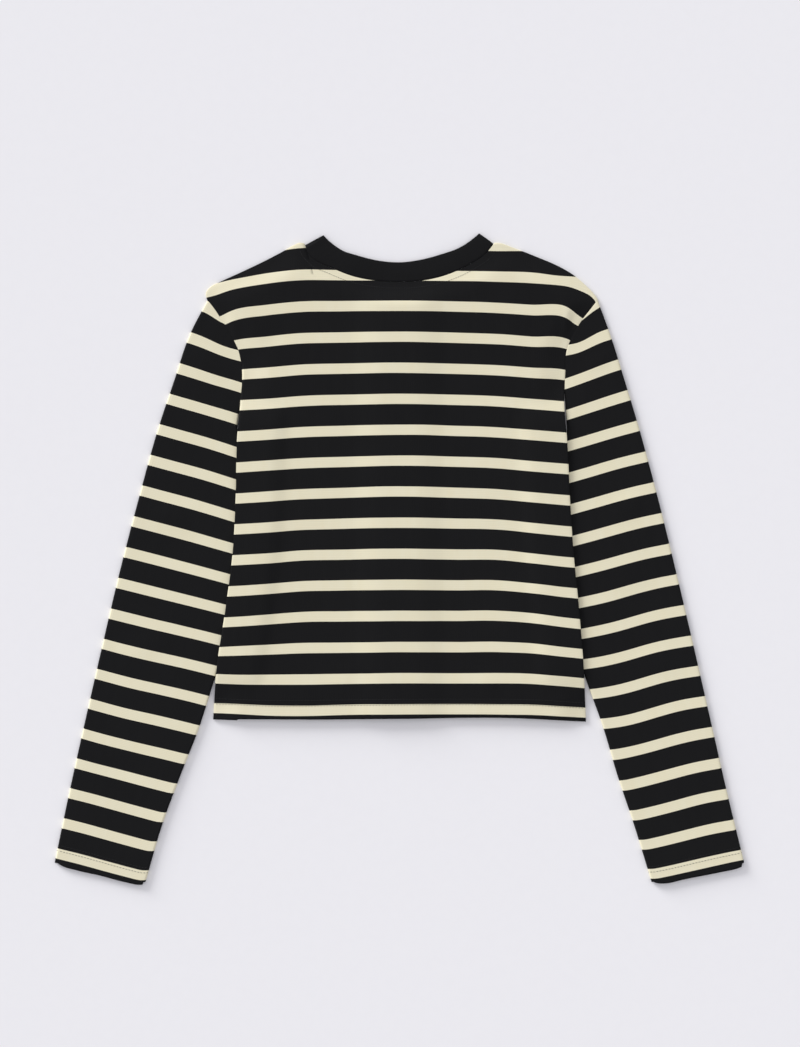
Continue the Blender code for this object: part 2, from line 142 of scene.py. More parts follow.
# Outlines in plan, from the left to the right or from the outside to the inside.
HEM = (
    (-193.8, -165.0), (-150.0, -165.2), (-100.0, -165.9), (0.0, -165.0), (125.0, -164.6), (170.0, -166.9),
    (194.2, -168.3),
)
SHOULDERS = {
    Side.LEFT: (
        (-199.9, 270.5), (-201.6, 277.6), (-197.4, 283.6), (-186.6, 289.4), (-164.6, 299.5),
        (-138.6, 312.0), (-119.9, 321.7), (-108.5, 328.2), (-103.3, 330.1), (-98.6, 329.2),
    ),
    Side.RIGHT: (
        (206.8, 270.5), (205.4, 273.2), (202.2, 277.2), (191.4, 288.2), (179.6, 297.8), (167.1, 305.0),
        (142.2, 315.8), (117.2, 325.5), (104.7, 329.8), (99.0, 330.1),
    ),
}
BACK_NECK_SEAM = (
    (-98.6, 329.2), (-96.0, 321.4), (-89.0, 313.2), (-70.1, 303.8), (-49.8, 295.8), (-19.3, 290.2),
    (5.0, 289.4), (20.8, 290.5), (43.7, 295.0), (73.5, 307.8), (90.4, 319.4), (99.0, 330.1),
)
BACK_NECK_EDGE = (
    (-79.2, 338.2), (-73.9, 332.6), (-65.3, 325.9), (-58.4, 321.7), (-46.1, 317.7), (-20.1, 311.4),
    (0.7, 309.9), (21.5, 312.4), (42.3, 317.8), (63.5, 325.6), (76.2, 334.0), (83.4, 340.0),
)
# The front's neckline on the right side, from the shoulder to the button band.
FRONT_NECK_SEAM = (
    (98.8, 329.6), (97.0, 311.0), (89.0, 287.0), (72.0, 263.0), (46.0, 244.0), (12.8, 234.0),
)
FRONT_NECK_EDGE = (
    (80.5, 335.5), (77.5, 317.0), (70.0, 295.0), (55.0, 275.5), (35.0, 261.0), (12.8, 254.0),
)
# The sleeves' edges: height, left place, right place.
SLEEVE_OUTER = (
    (270.5, -199.9, 206.8), (237.0, -217.2, 218.9), (187.0, -234.3, 234.5), (137.0, -251.0, 249.6),
    (62.0, -271.8, 269.8), (-12.0, -291.0, 288.0), (-87.0, -308.7, 305.7), (-162.0, -325.8, 322.9),
    (-237.0, -342.5, 340.0), (-315.0, -358.8, 358.9),
)
SLEEVE_INNER = (
    (171.0, -163.4, 172.2), (150.0, -167.0, 173.4), (128.0, -168.4, 174.2), (100.0, -155.0, 162.6),
    (60.0, -145.4, 152.8), (5.0, -151.1, 158.8), (-45.0, -164.8, 171.8), (-95.0, -182.0, 185.2),
    (-122.0, -191.5, 193.6), (-175.0, -208.6, 212.4), (-225.0, -228.1, 227.3), (-275.0, -246.6, 244.1),
    (-335.3, -264.3, 262.6),
)
CUFFS = {
    Side.LEFT: (
        (-358.8, -313.2), (-350.6, -318.5), (-336.8, -322.6), (-311.3, -328.4), (-282.2, -335.9),
        (-269.7, -338.0), (-263.6, -337.2),
    ),
    Side.RIGHT: (
        (359.6, -318.0), (352.4, -320.8), (333.6, -325.0), (296.1, -332.4), (278.2, -336.4),
        (271.0, -336.6), (263.4, -335.2),
    ),
}

# Stripes of the body: stripe 0 starts this high at the middle, and each row of the table says how far
# the stripes at its height hang below their middle, at the stations from left to right.
FIRST_STRIPE = 334.1
DIP_STATIONS = (
    -208.0, -190.0, -172.0, -138.0, -103.0, -60.0, 0.0, 60.0, 103.0, 138.0, 172.0, 190.0, 208.0,
)
STRIPE_DIPS = (
    (329.0, (16.0, 11.9, 8.2, 3.8, -1.2, 0.2, 0.2, 0.3, 2.4, 2.2, 6.3, 11.0, 15.0)),
    (297.0, (14.3, 12.9, 10.1, 3.9, 0.4, 0.6, 0.3, 1.2, 2.0, 3.0, 6.6, 6.4, 1.7)),
    (265.0, (21.3, 16.6, 9.3, 4.4, 1.1, 0.4, 0.2, 0.9, 2.2, 4.3, 5.5, 16.5, 27.6)),
    (246.0, (22.0, 17.8, 10.1, 5.0, 1.4, 0.5, 0.2, 0.9, 2.3, 4.8, 7.3, 18.4, 26.0)),
    (230.0, (18.5, 15.3, 9.1, 5.1, 1.6, 0.6, 0.1, 1.0, 2.4, 5.2, 6.6, 14.8, 21.4)),
    (166.0, (9.0, 8.1, 7.1, 5.1, 2.5, 1.1, 0.0, 1.1, 2.8, 5.3, 7.9, 9.4, 11.0)),
    (70.0, (8.0, 7.5, 6.9, 4.9, 2.6, 1.0, -0.5, 0.7, 2.6, 5.6, 8.1, 9.5, 11.0)),
    (6.0, (7.6, 7.0, 6.4, 4.6, 1.5, 0.5, -0.3, 0.5, 0.9, 4.7, 8.4, 9.9, 11.2)),
    (-58.0, (8.0, 7.2, 6.2, 3.6, 1.0, 0.3, -0.6, -0.1, -0.4, 2.2, 6.9, 8.8, 10.6)),
    (-90.0, (6.5, 5.6, 4.6, 2.7, 1.1, 0.6, -0.3, 0.1, -0.4, 1.2, 5.4, 7.4, 9.4)),
    (-122.0, (-0.4, 0.5, 1.3, 1.6, 1.3, 0.8, 0.0, 0.2, -0.2, 0.7, 3.5, 5.4, 7.4)),
    (-155.0, (-1.5, -1.0, -0.4, 1.3, 1.6, 0.8, 0.0, -0.1, 0.1, 0.6, 2.4, 3.6, 4.8)),
)

# Stripes of the sleeves: number, height at the outer edge, slope from there, bow and sway. The bow
# lifts the middle of the stripe; the sway lifts its outer half and lowers its inner one.
SLEEVE_STRIPES = {
    Side.LEFT: (
        (1, 269.8, 0.55, -1.2, 0.8), (2, 236.9, 0.375, -0.9, 0.7), (3, 204.7, 0.316, -0.1, 0.1),
        (5, 141.3, 0.296, 0.7, -0.2), (8, 45.6, 0.273, 0.8, -0.1), (11, -50.4, 0.243, -0.1, -0.1),
        (14, -144.2, 0.247, -0.5, -0.5), (15.5, -190.7, 0.253, -0.7, -0.2), (17, -237.4, 0.262, 0.0, 0.3),
        (20, -331.0, 0.262, -0.1, 0.3),
    ),
    Side.RIGHT: (
        (1, 274.8, 0.8, -0.6, 0.4), (2, 240.3, 0.385, -1.3, 1.2), (3, 208.6, 0.357, 0.0, 0.3),
        (5, 144.9, 0.294, 0.4, 0.1), (8, 48.9, 0.257, 1.1, 0.3), (11, -46.8, 0.23, 0.2, 1.1),
        (14, -141.7, 0.211, -0.6, 1.6), (15.5, -189.6, 0.23, 0.3, 0.9), (17, -238.2, 0.228, 0.4, 0.7),
        (20, -332.8, 0.214, -0.2, 0.1),
    ),
}
LAST_NUMBER = 20.5

# How far the stripes turn up at a sleeve's inner edge, towards the cuff, and where and over what width.
STRIPE_CURLS = {Side.LEFT: 2.0, Side.RIGHT: 1.3}
CURL_START = 13.0
CURL_GROWTH = 4.0
CURL_REACH = 12.0
CURL_WIDTH = 9.0

# Stripe numbers along which the cuffs' hem seams are sewn.
CUFF_COURSES = {Side.LEFT: 19.078, Side.RIGHT: 19.1}

# Soft creases: along the armholes, below them, and across the elbows.
BACK_CREASES = (
    Crease((177.0, 268.0), (171.5, 228.0), 3.2, 1.1),
    Crease((181.0, 262.0), (176.0, 232.0), 3.0, -0.7),
    Crease((-176.0, 262.0), (-168.0, 226.0), 3.6, 0.8),
    Crease((-160.0, 196.0), (-112.0, 252.0), 13.0, -0.6),
    Crease((166.0, 192.0), (120.0, 246.0), 15.0, -0.5),
    Crease((-150.0, 60.0), (-84.0, 20.0), 20.0, 0.5),
    Crease((158.0, -18.0), (96.0, -52.0), 18.0, 0.55),
    Crease((-60.0, -152.0), (-52.0, -96.0), 14.0, 0.45),
    Crease((88.0, -156.0), (94.0, -104.0), 12.0, 0.4),
)
SLEEVE_CREASES = {
    Side.LEFT: (
        Crease((-222.0, 226.0), (-178.0, 190.0), 9.0, 0.5),
        Crease((-262.0, 58.0), (-212.0, 34.0), 10.0, 0.6),
        Crease((-268.0, 22.0), (-196.0, 10.0), 13.0, -0.5),
        Crease((-296.0, -96.0), (-236.0, -86.0), 12.0, 0.5),
        Crease((-318.0, -204.0), (-262.0, -228.0), 11.0, -0.4),
    ),
    Side.RIGHT: (
        Crease((226.0, 220.0), (186.0, 192.0), 8.0, 0.45),
        Crease((262.0, 72.0), (214.0, 40.0), 11.0, 0.6),
        Crease((284.0, -30.0), (216.0, -44.0), 12.0, -0.5),
        Crease((300.0, -120.0), (244.0, -100.0), 10.0, 0.55),
        Crease((330.0, -232.0), (270.0, -216.0), 12.0, 0.45),
    ),
}


# ---- Lines and grids ----


def ease(value: Array | float, start: float, end: float) -> Array:
    """Go softly from 0 at start to 1 at end."""
    share = np.clip((np.asarray(value, float) - start) / (end - start), 0.0, 1.0)
    return share * share * (3.0 - 2.0 * share)


def soft_max(first: Array, second: Array | float, blend: float) -> Array:
    """The larger of two heights, with a soft change between them."""
    return 0.5 * (first + second + np.sqrt((first - second) ** 2 + blend**2))


def arc_shares(line: Array) -> Array:
    """How far along a line each of its points lies, from 0 to 1."""
    along = np.concatenate([[0.0], np.cumsum(np.linalg.norm(np.diff(line, axis=0), axis=1))])
    return along / along[-1]


def line_length(line: Array) -> float:
    """Length of a line."""
    return float(np.linalg.norm(np.diff(line, axis=0), axis=1).sum())


def at_shares(line: Array, shares: Array) -> Array:
    """Points at the given shares of a line's length."""
    known = arc_shares(line)
    return np.column_stack([np.interp(shares, known, values) for values in line.T])


def smooth_line(points: Rows, steps: int = 12) -> Array:
    """A fine line through all the points, rounded between them.

    Args:
        points: places that the line passes through.
        steps: fine steps between two of them.

    Returns:
        The fine line, one row for each of its points.
    """
    places = np.array(points, float)
    spans = np.linalg.norm(np.diff(places, axis=0), axis=1)
    slopes = np.diff(places, axis=0) / spans[:, None]
    tangents = np.vstack([slopes[:1], slopes])
    before, after = spans[:-1, None], spans[1:, None]
    tangents[1:-1] = (slopes[:-1] * after + slopes[1:] * before) / (before + after)
    share = np.linspace(0.0, 1.0, steps, endpoint=False)[:, None]
    square, cube = share**2, share**3
    pieces = [
        (2 * cube - 3 * square + 1) * places[i]
        + (cube - 2 * square + share) * spans[i] * tangents[i]
        + (3 * square - 2 * cube) * places[i + 1]
        + (cube - square) * spans[i] * tangents[i + 1]
        for i in range(len(spans))
    ]
    return np.vstack([*pieces, places[-1:]])


def moved_aside(line: Array, distance: float) -> Array:
    """A line in plan, moved to its left-hand side.

    Args:
        line: points in plan.
        distance: how far to move it.

    Returns:
        The moved line.
    """
    forward = np.gradient(line, axis=0)
    forward /= np.linalg.norm(forward, axis=1, keepdims=True)
    return line + distance * np.column_stack([-forward[:, 1], forward[:, 0]])


def toward(start: Array, target: Array, distance: float) -> Array:
    """The point at a distance from start on the way to target."""
    step = target - start
    return start + step * (distance / np.linalg.norm(step))


def distance_to(points: Rows, x: Array, y: Array) -> Array:
    """Shortest distance in plan from places to a line.

    Args:
        points: places that the line passes through.
        x: of the places, in an array of any shape.
        y: of the places.

    Returns:
        The distances, in an array of the same shape.
    """
    line = smooth_line(points, COARSE)
    start, step = line[:-1], np.diff(line, axis=0)
    over_x = np.ravel(x)[:, None] - start[:, 0]
    over_y = np.ravel(y)[:, None] - start[:, 1]
    share = np.clip((over_x * step[:, 0] + over_y * step[:, 1]) / (step**2).sum(axis=1), 0.0, 1.0)
    gaps = np.hypot(over_x - share * step[:, 0], over_y - share * step[:, 1])
    return gaps.min(axis=1).reshape(np.shape(x))


def coons(bottom: Array, top: Array, left: Array, right: Array) -> Array:
    """Fill four edges with a grid.

    Args:
        bottom: lower edge from left to right.
        top: upper edge from left to right.
        left: left edge from bottom to top.
        right: right edge from bottom to top.

    Returns:
        Points in plan; rows go from bottom to top and columns from left to right.
    """
    across = (0.5 * (arc_shares(bottom) + arc_shares(top)))[None, :, None]
    up = (0.5 * (arc_shares(left) + arc_shares(right)))[:, None, None]
    between_rows = (1 - up) * bottom[None] + up * top[None]
    between_columns = (1 - across) * left[:, None] + across * right[:, None]
    low = (1 - across) * bottom[0] + across * bottom[-1]
    high = (1 - across) * top[0] + across * top[-1]
    return between_rows + between_columns - ((1 - up) * low + up * high)


def graded(cells: int, length: float, radius: float, ends: Ends = Ends.BOTH) -> Array:
    """Shares of grid lines along a length, close together over its round edges.

    Args:
        cells: even cells between the round edges.
        length: the whole length.
        radius: of the round edge.
        ends: which ends are round.

    Returns:
        Rising shares from 0 to 1.
    """
    rim = radius * (1.0 - np.cos(RIM_ANGLES)) / length
    first, last = ends.value
    low = radius / length if first else 0.0
    high = 1.0 - radius / length if last else 1.0
    even = np.linspace(low, high, cells + 1)
    return np.concatenate([rim if first else [], even, 1.0 - rim[::-1] if last else []])


def rim_profile(count: int) -> Array:
    """Share of the wall's thickness at each grid line: it closes over the round edges."""
    rise = np.sin(RIM_ANGLES)
    return np.concatenate([rise, np.ones(count - 2 * len(rise)), rise[::-1]])


def crease_height(x: Array, y: Array, creases: Sequence[Crease]) -> Array:
    """Height that creases add.

    Args:
        x: of the places.
        y: of the places.
        creases: the creases to lay there.

    Returns:
        The heights at the places.
    """
    total = np.zeros_like(x)
    for crease in creases:
        start, end = np.array(crease.start), np.array(crease.end)
        step = end - start
        length = np.linalg.norm(step)
        along = ((x - start[0]) * step[0] + (y - start[1]) * step[1]) / length**2
        aside = ((x - start[0]) * step[1] - (y - start[1]) * step[0]) / length
        window = np.sin(np.pi * np.clip(along, 0.0, 1.0)) ** 1.5
        total += crease.height * window * np.exp(-((aside / crease.width) ** 2))
    return total


def undulation(x: Array, y: Array, height: float) -> Array:
    """Faint unevenness of cloth that was smoothed out by hand.

    Args:
        x: of the places.
        y: of the places.
        height: of the strongest waves.

    Returns:
        The heights at the places.
    """
    wave = np.sin(x / 31.0 + 0.8 * np.sin(y / 67.0) + 0.4) * np.sin(y / 43.0 + 1.1)
    wave = wave + 0.6 * np.sin((x + 0.7 * y) / 23.0 + 2.0) * np.sin((y - 0.4 * x) / 58.0)
    return height * wave


# ---- How the layers lie ----


@dataclass(frozen=True)
class LaidForm:
    """Heights at which the garment's layers lie on the floor and on each other.

    A pair of places says where a height or a gap starts to change and where it has changed fully.
    """

    jersey_wall: float = 1.2
    band_wall: float = 1.6
    seam_gap: float = 0.3
    layer_gap: float = 0.8
    band_width: float = 25.0
    band_top: float = 254.0
    front_setback: float = 1.5
    button_thickness: float = 2.0
    centre_slope: Pair = (78.0, 16.0)
    sleeve_loft: float = 3.8
    armhole_loft: float = 3.2
    armhole_out: Pair = (130.0, 160.0)
    tuck_slope: Pair = (72.0, 34.0)
    tuck_top: Pair = (186.0, 138.0)
    tuck_low: Pair = (-160.0, -112.0)
    bridge_height: float = 4.4
    bridge_blend: float = 0.5
    edge_ease: float = 30.0
    crease_ease: float = 6.0
    wave_ease: Pair = (2.0, 24.0)
    wave_height: float = 0.22
    neck_edge_gap: float = 1.1
    neck_out: Pair = (130.0, 99.0)
    neck_up: Pair = (250.0, 300.0)
    neck_side_mid: float = 2.9
    neck_centre_mid: float = 2.0
    neck_sag: Pair = (15.0, 62.0)
    neck_ease: float = 26.0
    seam_closing: float = 5.0  # depth over which sewn edges come together
    side_seam_top: Pair = (168.0, 150.0)
    shoulder_seam_in: Pair = (104.0, 116.0)
    shoulder_seam_out: Pair = (200.0, 188.0)

    @property
    def right_band_bottom(self) -> float:
        """Underside of the right band, on the buttons."""
        return self.button_thickness + self.seam_gap

    @property
    def left_band_bottom(self) -> float:
        """Underside of the left band, on the right one."""
        return self.right_band_bottom + self.band_wall + self.seam_gap

    @property
    def turn_radius(self) -> float:
        """Radius in which the middle of the neckband turns over at the neck's two peaks."""
        return 0.5 * (self.neck_side_mid - 0.5 * self.band_wall)

    def band_bottom(self, side: Side) -> float:
        """Underside of one side's button band."""
        return self.left_band_bottom if side is Side.LEFT else self.right_band_bottom

    @staticmethod
    def hem_at(x: Array | float) -> Array:
        """Where the back's hem lies."""
        return np.interp(x, *smooth_line(HEM).T)

    @staticmethod
    def side_depth(x: Array, y: Array) -> Array:
        """Distance inside the nearer side of the body."""
        left, right = (np.interp(y, *side.edge(BODY_SIDES).T[::-1]) for side in Side)
        return np.minimum(x - left, right - x)

    @staticmethod
    def shoulder_depth(x: Array, y: Array) -> Array:
        """Distance from the nearer shoulder's edge."""
        return np.minimum(*(distance_to(line, x, y) for line in SHOULDERS.values()))

    def tuck_rise(self, x: Array, y: Array) -> Array:
        """How far the tucked sleeves lift the body's sides.

        Args:
            x: of the places.
            y: of the places.

        Returns:
            The heights at the places.
        """
        near_side = ease(self.side_depth(x, y), *self.tuck_slope)
        rise = self.sleeve_loft + 0.5
        return rise * near_side * ease(y, *self.tuck_top) * ease(y, *self.tuck_low)

    def front_underside(self, x: Array, y: Array, band_bottom: float) -> Array:
        """Underside of a front that is sewn to the band with that underside."""
        beside_band = band_bottom + 0.5 * (self.band_wall - self.jersey_wall)
        return self.tuck_rise(x, y) + beside_band * ease(np.abs(x), *self.centre_slope)

    def edge_gap(self, x: Array, y: Array) -> Array:
        """Gap between back and front along the closed edges.

        Args:
            x: of the places.
            y: of the places.

        Returns:
            The gap at each place.
        """
        out = np.abs(x)
        armhole = ease(y, self.tuck_top[1], ARMHOLE_START) * ease(out, *self.armhole_out)
        neck = ease(out, *self.neck_out) * ease(y, *self.neck_up)
        at_armhole = self.armhole_loft - 2 * self.jersey_wall - self.seam_gap
        return self.seam_gap + at_armhole * armhole + (self.neck_edge_gap - self.seam_gap) * neck

    def neck_middle(self, x: Array) -> Array:
        """Middle of the wall along the back of the neck."""
        lift = self.neck_side_mid - self.neck_centre_mid
        return self.neck_centre_mid + lift * ease(np.abs(x), *self.neck_sag)

    def closing(self, x: Array, y: Array) -> Array:
        """How far back and front each move to meet in the side and shoulder seams.

        Args:
            x: of the places.
            y: of the places.

        Returns:
            The way that each layer moves at each place.
        """
        side = ease(self.side_depth(x, y), self.seam_closing, 0.0) * ease(y, *self.side_seam_top)
        shoulder = ease(self.shoulder_depth(x, y), self.seam_closing, 0.0)
        for limits in (self.shoulder_seam_in, self.shoulder_seam_out):
            shoulder = shoulder * ease(np.abs(x), *limits)
        return 0.5 * self.edge_gap(x, y) * np.maximum(side, shoulder)

    def front_middle(self, x: Array, y: Array, band_bottom: float) -> Array:
        """Middle of a front's wall."""
        return self.front_underside(x, y, band_bottom) + 0.5 * self.jersey_wall + self.closing(x, y)

    def back_middle(self, x: Array, y: Array) -> Array:
        """Middle of the back's wall over all that it lies on.

        Args:
            x: of the places.
            y: of the places.

        Returns:
            The heights at the places.
        """
        front_top = self.front_underside(x, y, self.left_band_bottom) + self.jersey_wall
        spanning = soft_max(front_top + self.layer_gap, self.bridge_height, self.bridge_blend)
        closed = front_top + self.edge_gap(x, y)
        depth = np.minimum(self.side_depth(x, y), self.shoulder_depth(x, y))
        laid = closed + (spanning - closed) * ease(depth, 0.0, self.edge_ease)
        laid = laid - self.closing(x, y)
        at_neck = self.neck_middle(x) - 0.5 * self.jersey_wall
        off_neck = ease(distance_to(BACK_NECK_SEAM, x, y), 0.0, self.neck_ease)
        underside = at_neck + (laid - at_neck) * off_neck
        waves = undulation(x, y, self.wave_height) * (ease(depth, *self.wave_ease) * off_neck)
        folds = crease_height(x, y, BACK_CREASES) * ease(depth, 0.0, self.crease_ease)
        return underside + 0.5 * self.jersey_wall + folds + waves


class Stripes:
    """Places of the knitted stripes: whole numbers are their upper edges, counted downwards."""

    @staticmethod
    def body(x: Array, y: Array) -> Array:
        """Stripe numbers on the body.

        Args:
            x: of the places.
            y: of the places.

        Returns:
            The stripe number at each place.
        """
        rows = STRIPE_DIPS[::-1]
        dips = np.array([np.interp(x, *smooth_line(list(zip(DIP_STATIONS, row))).T) for _, row in rows])
        place = np.interp(y, [height for height, _ in rows], np.arange(len(rows)))
        place = np.clip(place, 0, len(rows) - 1.001)
        low = place.astype(int)
        first, second = (np.take_along_axis(dips, low[None] + step, axis=0)[0] for step in (0, 1))
        dip = first + (second - first) * (place - low)
        return (FIRST_STRIPE - (y + dip)) / STRIPE_PITCH

    @staticmethod
    def sleeve(side: Side, x: Array, y: Array) -> Array:
        """Stripe numbers on a sleeve.

        Args:
            side: the sleeve's side.
            x: of the places.
            y: of the places.

        Returns:
            The stripe number at each place.
        """
        table = np.array(SLEEVE_STRIPES[side], float)
        numbers = np.linspace(0.0, LAST_NUMBER, 300)
        heights, slopes, bows, sways = (
            np.interp(numbers, *smooth_line(table[:, [0, column]]).T) for column in (1, 2, 3, 4)
        )
        heights += (table[1, 1] - table[0, 1]) * np.minimum(numbers - table[0, 0], 0.0)
        last_pitch = (table[-2, 1] - table[-1, 1]) / (table[-1, 0] - table[-2, 0])
        heights -= last_pitch * np.maximum(numbers - table[-1, 0], 0.0)
        edge = side.edge_out(SLEEVE_OUTER, heights)
        halfway = heights - 50.0 * slopes
        covered = np.where(halfway > BODY_SIDES[0][0], side.edge_out(BODY_SIDES, halfway), 0.0)
        width = edge - np.maximum(covered, side.edge_out(SLEEVE_INNER, halfway))
        depth = edge - np.abs(x.ravel())[:, None]
        turn = np.pi * np.clip(depth / width, 0.0, 1.0)
        lines = heights - slopes * depth + bows * np.sin(turn) + sways * np.sin(2.0 * turn)
        curls = STRIPE_CURLS[side] * np.clip((numbers - CURL_START) / CURL_GROWTH, 0.0, 1.0)
        lines += curls * np.clip((depth - width + CURL_REACH) / CURL_WIDTH, 0.0, 1.0) ** 2
        above = np.clip((lines > y.ravel()[:, None]).sum(axis=1), 1, len(numbers) - 1)
        high, low = (np.take_along_axis(lines, above[:, None] - step, axis=1)[:, 0] for step in (1, 0))
        share = (high - y.ravel()) / (high - low)
        return (numbers[above - 1] + share * (numbers[1] - numbers[0])).reshape(x.shape)


# ---- Meshes ----


@dataclass
class ClothSheet:
    """A cloth as a grid of points in the middle of its wall.

    Columns run so that columns cross rows gives the outer side.
    """

    middle: Array  # rows, columns, xyz
    half: Array  # half of the wall at each point
    knit: Array  # rows, columns, (across, along) in stripe pitches
    closed: bool = False  # the last column lies on the first one

    @classmethod
    def laid(cls, flat: Array, height: Array, wall: float, knit: Array) -> ClothSheet:
        """A sheet over a grid in plan, rounded at all its edges.

        Args:
            flat: places in plan.
            height: of the middle of the wall there.
            wall: its thickness.
            knit: places in the knit.

        Returns:
            The sheet.
        """
        rows, columns = flat.shape[:2]
        profile = np.minimum(rim_profile(rows)[:, None], rim_profile(columns)[None])
        return cls(np.dstack([flat, height]), 0.5 * wall * profile, knit)

    def normals(self) -> Array:
        """Directions out of the cloth's outer side.

        Returns:
            A unit vector at each point of the grid.
        """
        along = np.gradient(self.middle, axis=0)
        if self.closed:
            wrapped = np.concatenate([self.middle[:, -2:-1], self.middle, self.middle[:, 1:2]], axis=1)
            across = wrapped[:, 2:] - wrapped[:, :-2]
        else:
            across = np.gradient(self.middle, axis=1)
        normal = np.cross(across, along)
        return normal / np.maximum(np.linalg.norm(normal, axis=2, keepdims=True), 1e-9)

    def area(self) -> float:
        """Area of the cloth in square metres, one layer.

        Returns:
            The area.
        """
        along = np.diff(self.middle, axis=0)[:, :-1]
        across = np.diff(self.middle, axis=1)[:-1]
        return float(np.linalg.norm(np.cross(along, across), axis=2).sum()) * MM * MM

    def course(self, number: float) -> tuple[Array, Array]:
        """Where the outer side shows one course of the knit.

        Args:
            number: the course's stripe number.

        Returns:
            Points on the outer side and the normals there, one for each column.
        """
        numbers = self.knit[..., 1]
        rim = 0 if self.closed else len(RIM_ANGLES)
        columns = np.arange(rim, numbers.shape[1] - rim)
        order = np.arange(len(numbers), dtype=float)
        if numbers[0, 0] > numbers[-1, 0]:
            numbers, order = numbers[::-1], order[::-1]
        rows = np.array([np.interp(number, numbers[:, column], order) for column in columns])
        low = np.clip(rows.astype(int), 0, len(numbers) - 2)
        up = (rows - low)[:, None]
        normals = self.normals()
        surface = self.middle + normals * self.half[..., None]
        points, found = (
            values[low, columns] * (1 - up) + values[low + 1, columns] * up for values in (surface, normals)
        )
        return points, found / np.linalg.norm(found, axis=1, keepdims=True)

    def build(self, name: str) -> bpy.types.Object:
        """Make the closed mesh of the wall.

        Args:
            name: of the new object.

        Returns:
            The object, in the scene.
        """
        rows, columns = self.half.shape
        offset = self.normals() * self.half[..., None]
        points = np.concatenate([self.middle + offset, self.middle - offset]).reshape(-1, 3) * MM
        index = np.arange(rows * columns).reshape(rows, columns)
        corners = [index[:-1, :-1], index[:-1, 1:], index[1:, 1:], index[1:, :-1]]
        outer = np.stack(corners, axis=-1).reshape(-1, 4)
        faces = np.concatenate([outer, outer[:, ::-1] + rows * columns])
        mesh = bpy.data.meshes.new(name)
        mesh.from_pydata(points.tolist(), [], faces.tolist())
        layer = mesh.uv_layers.new(name=KNIT_MAP)
        places = self.knit.reshape(-1, 2)[faces.ravel() % (rows * columns)]
        layer.data.foreach_set("uv", places.astype(np.float32).ravel())
        shape = bmesh.new()
        shape.from_mesh(mesh)
        bmesh.ops.remove_doubles(shape, verts=shape.verts[:], dist=WELD)
        return add_object(finished(shape, mesh))


def finished(shape: bmesh.types.BMesh, mesh: bpy.types.Mesh | str) -> bpy.types.Mesh:
    """Turn a loose shape into a smooth mesh, and free the shape.

    Args:
        shape: the shape.
        mesh: the mesh that takes it, or the name of a new one.

    Returns:
        The mesh.
    """
    if isinstance(mesh, str):
        mesh = bpy.data.meshes.new(mesh)
    shape.to_mesh(mesh)
    shape.free()
    mesh.shade_smooth()
    return mesh


def add_object(mesh: bpy.types.Mesh) -> bpy.types.Object:
    """Put a mesh into the scene as a new object of the same name.

    Args:
        mesh: the mesh.

    Returns:
        The object.
    """
    made = bpy.data.objects.new(mesh.name, mesh)
    bpy.context.scene.collection.objects.link(made)
    return made


def dress(
    piece: bpy.types.Object,
    material: bpy.types.Material,
    node: str = "",
) -> bpy.types.Object:
    """Give a piece its material and its place in the frame.

    Args:
        piece: the new object.
        material: its finish.
        node: the CAD node that it stands for, if any.

    Returns:
        The same object.
    """
    piece.data.materials.clear()
    piece.data.materials.append(material)
    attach(piece, BODY)
    if node:
        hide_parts(node)
    log.info("%s: %d faces", piece.name, len(piece.data.polygons))
    return piece


# ---- Finishes ----


def linear(colour: str) -> tuple[float, float, float, float]:
    """An sRGB hex colour as linear red, green, blue and alpha."""
    values = [int(colour[start : start + 2], 16) / 255.0 for start in (1, 3, 5)]
    return (*(v / 12.92 if v <= 0.04045 else ((v + 0.055) / 1.055) ** 2.4 for v in values), 1.0)


def wire(node: bpy.types.Node, inputs: dict | Sequence) -> bpy.types.Node:
    """Link or set a node's inputs.

    Args:
        node: the node.
        inputs: by name or in order, a value to set, or a socket or a node to link. A node gives
            its first output.

    Returns:
        The same node.
    """
    for key, value in inputs.items() if isinstance(inputs, dict) else enumerate(inputs):
        if isinstance(value, bpy.types.Node):
            value = next(socket for socket in value.outputs if socket.enabled)
        if isinstance(value, bpy.types.NodeSocket):
            node.id_data.links.new(value, node.inputs[key])
        else:
            node.inputs[key].default_value = value
    return node


def add_node(
    tree: bpy.types.NodeTree,
    kind: str,
    inputs: dict | Sequence = (),
    **settings: str,
) -> bpy.types.Node:
    """Add one node.

    Args:
        tree: the material's node tree.
        kind: the node's type name after "ShaderNode".
        inputs: what its inputs get, as for wire.
        **settings: the node's own properties.

    Returns:
        The node.
    """
    node = tree.nodes.new("ShaderNode" + kind)
    for name, value in settings.items():
        setattr(node, name, value)
    return wire(node, inputs)


@dataclass(frozen=True)
class Finish:
    """A material made from nodes."""

    name: str

    def shade(self, add: partial) -> dict:
        """Add the nodes, and give what the Principled shader's inputs get."""
        raise NotImplementedError

    def make(self) -> bpy.types.Material:
        """Build the material.

        Returns:
            The material.
        """
        material = bpy.data.materials.new(self.name)
        material.use_nodes = True
        tree = material.node_tree
        wire(tree.nodes["Principled BSDF"], self.shade(partial(add_node, tree)))
        return material


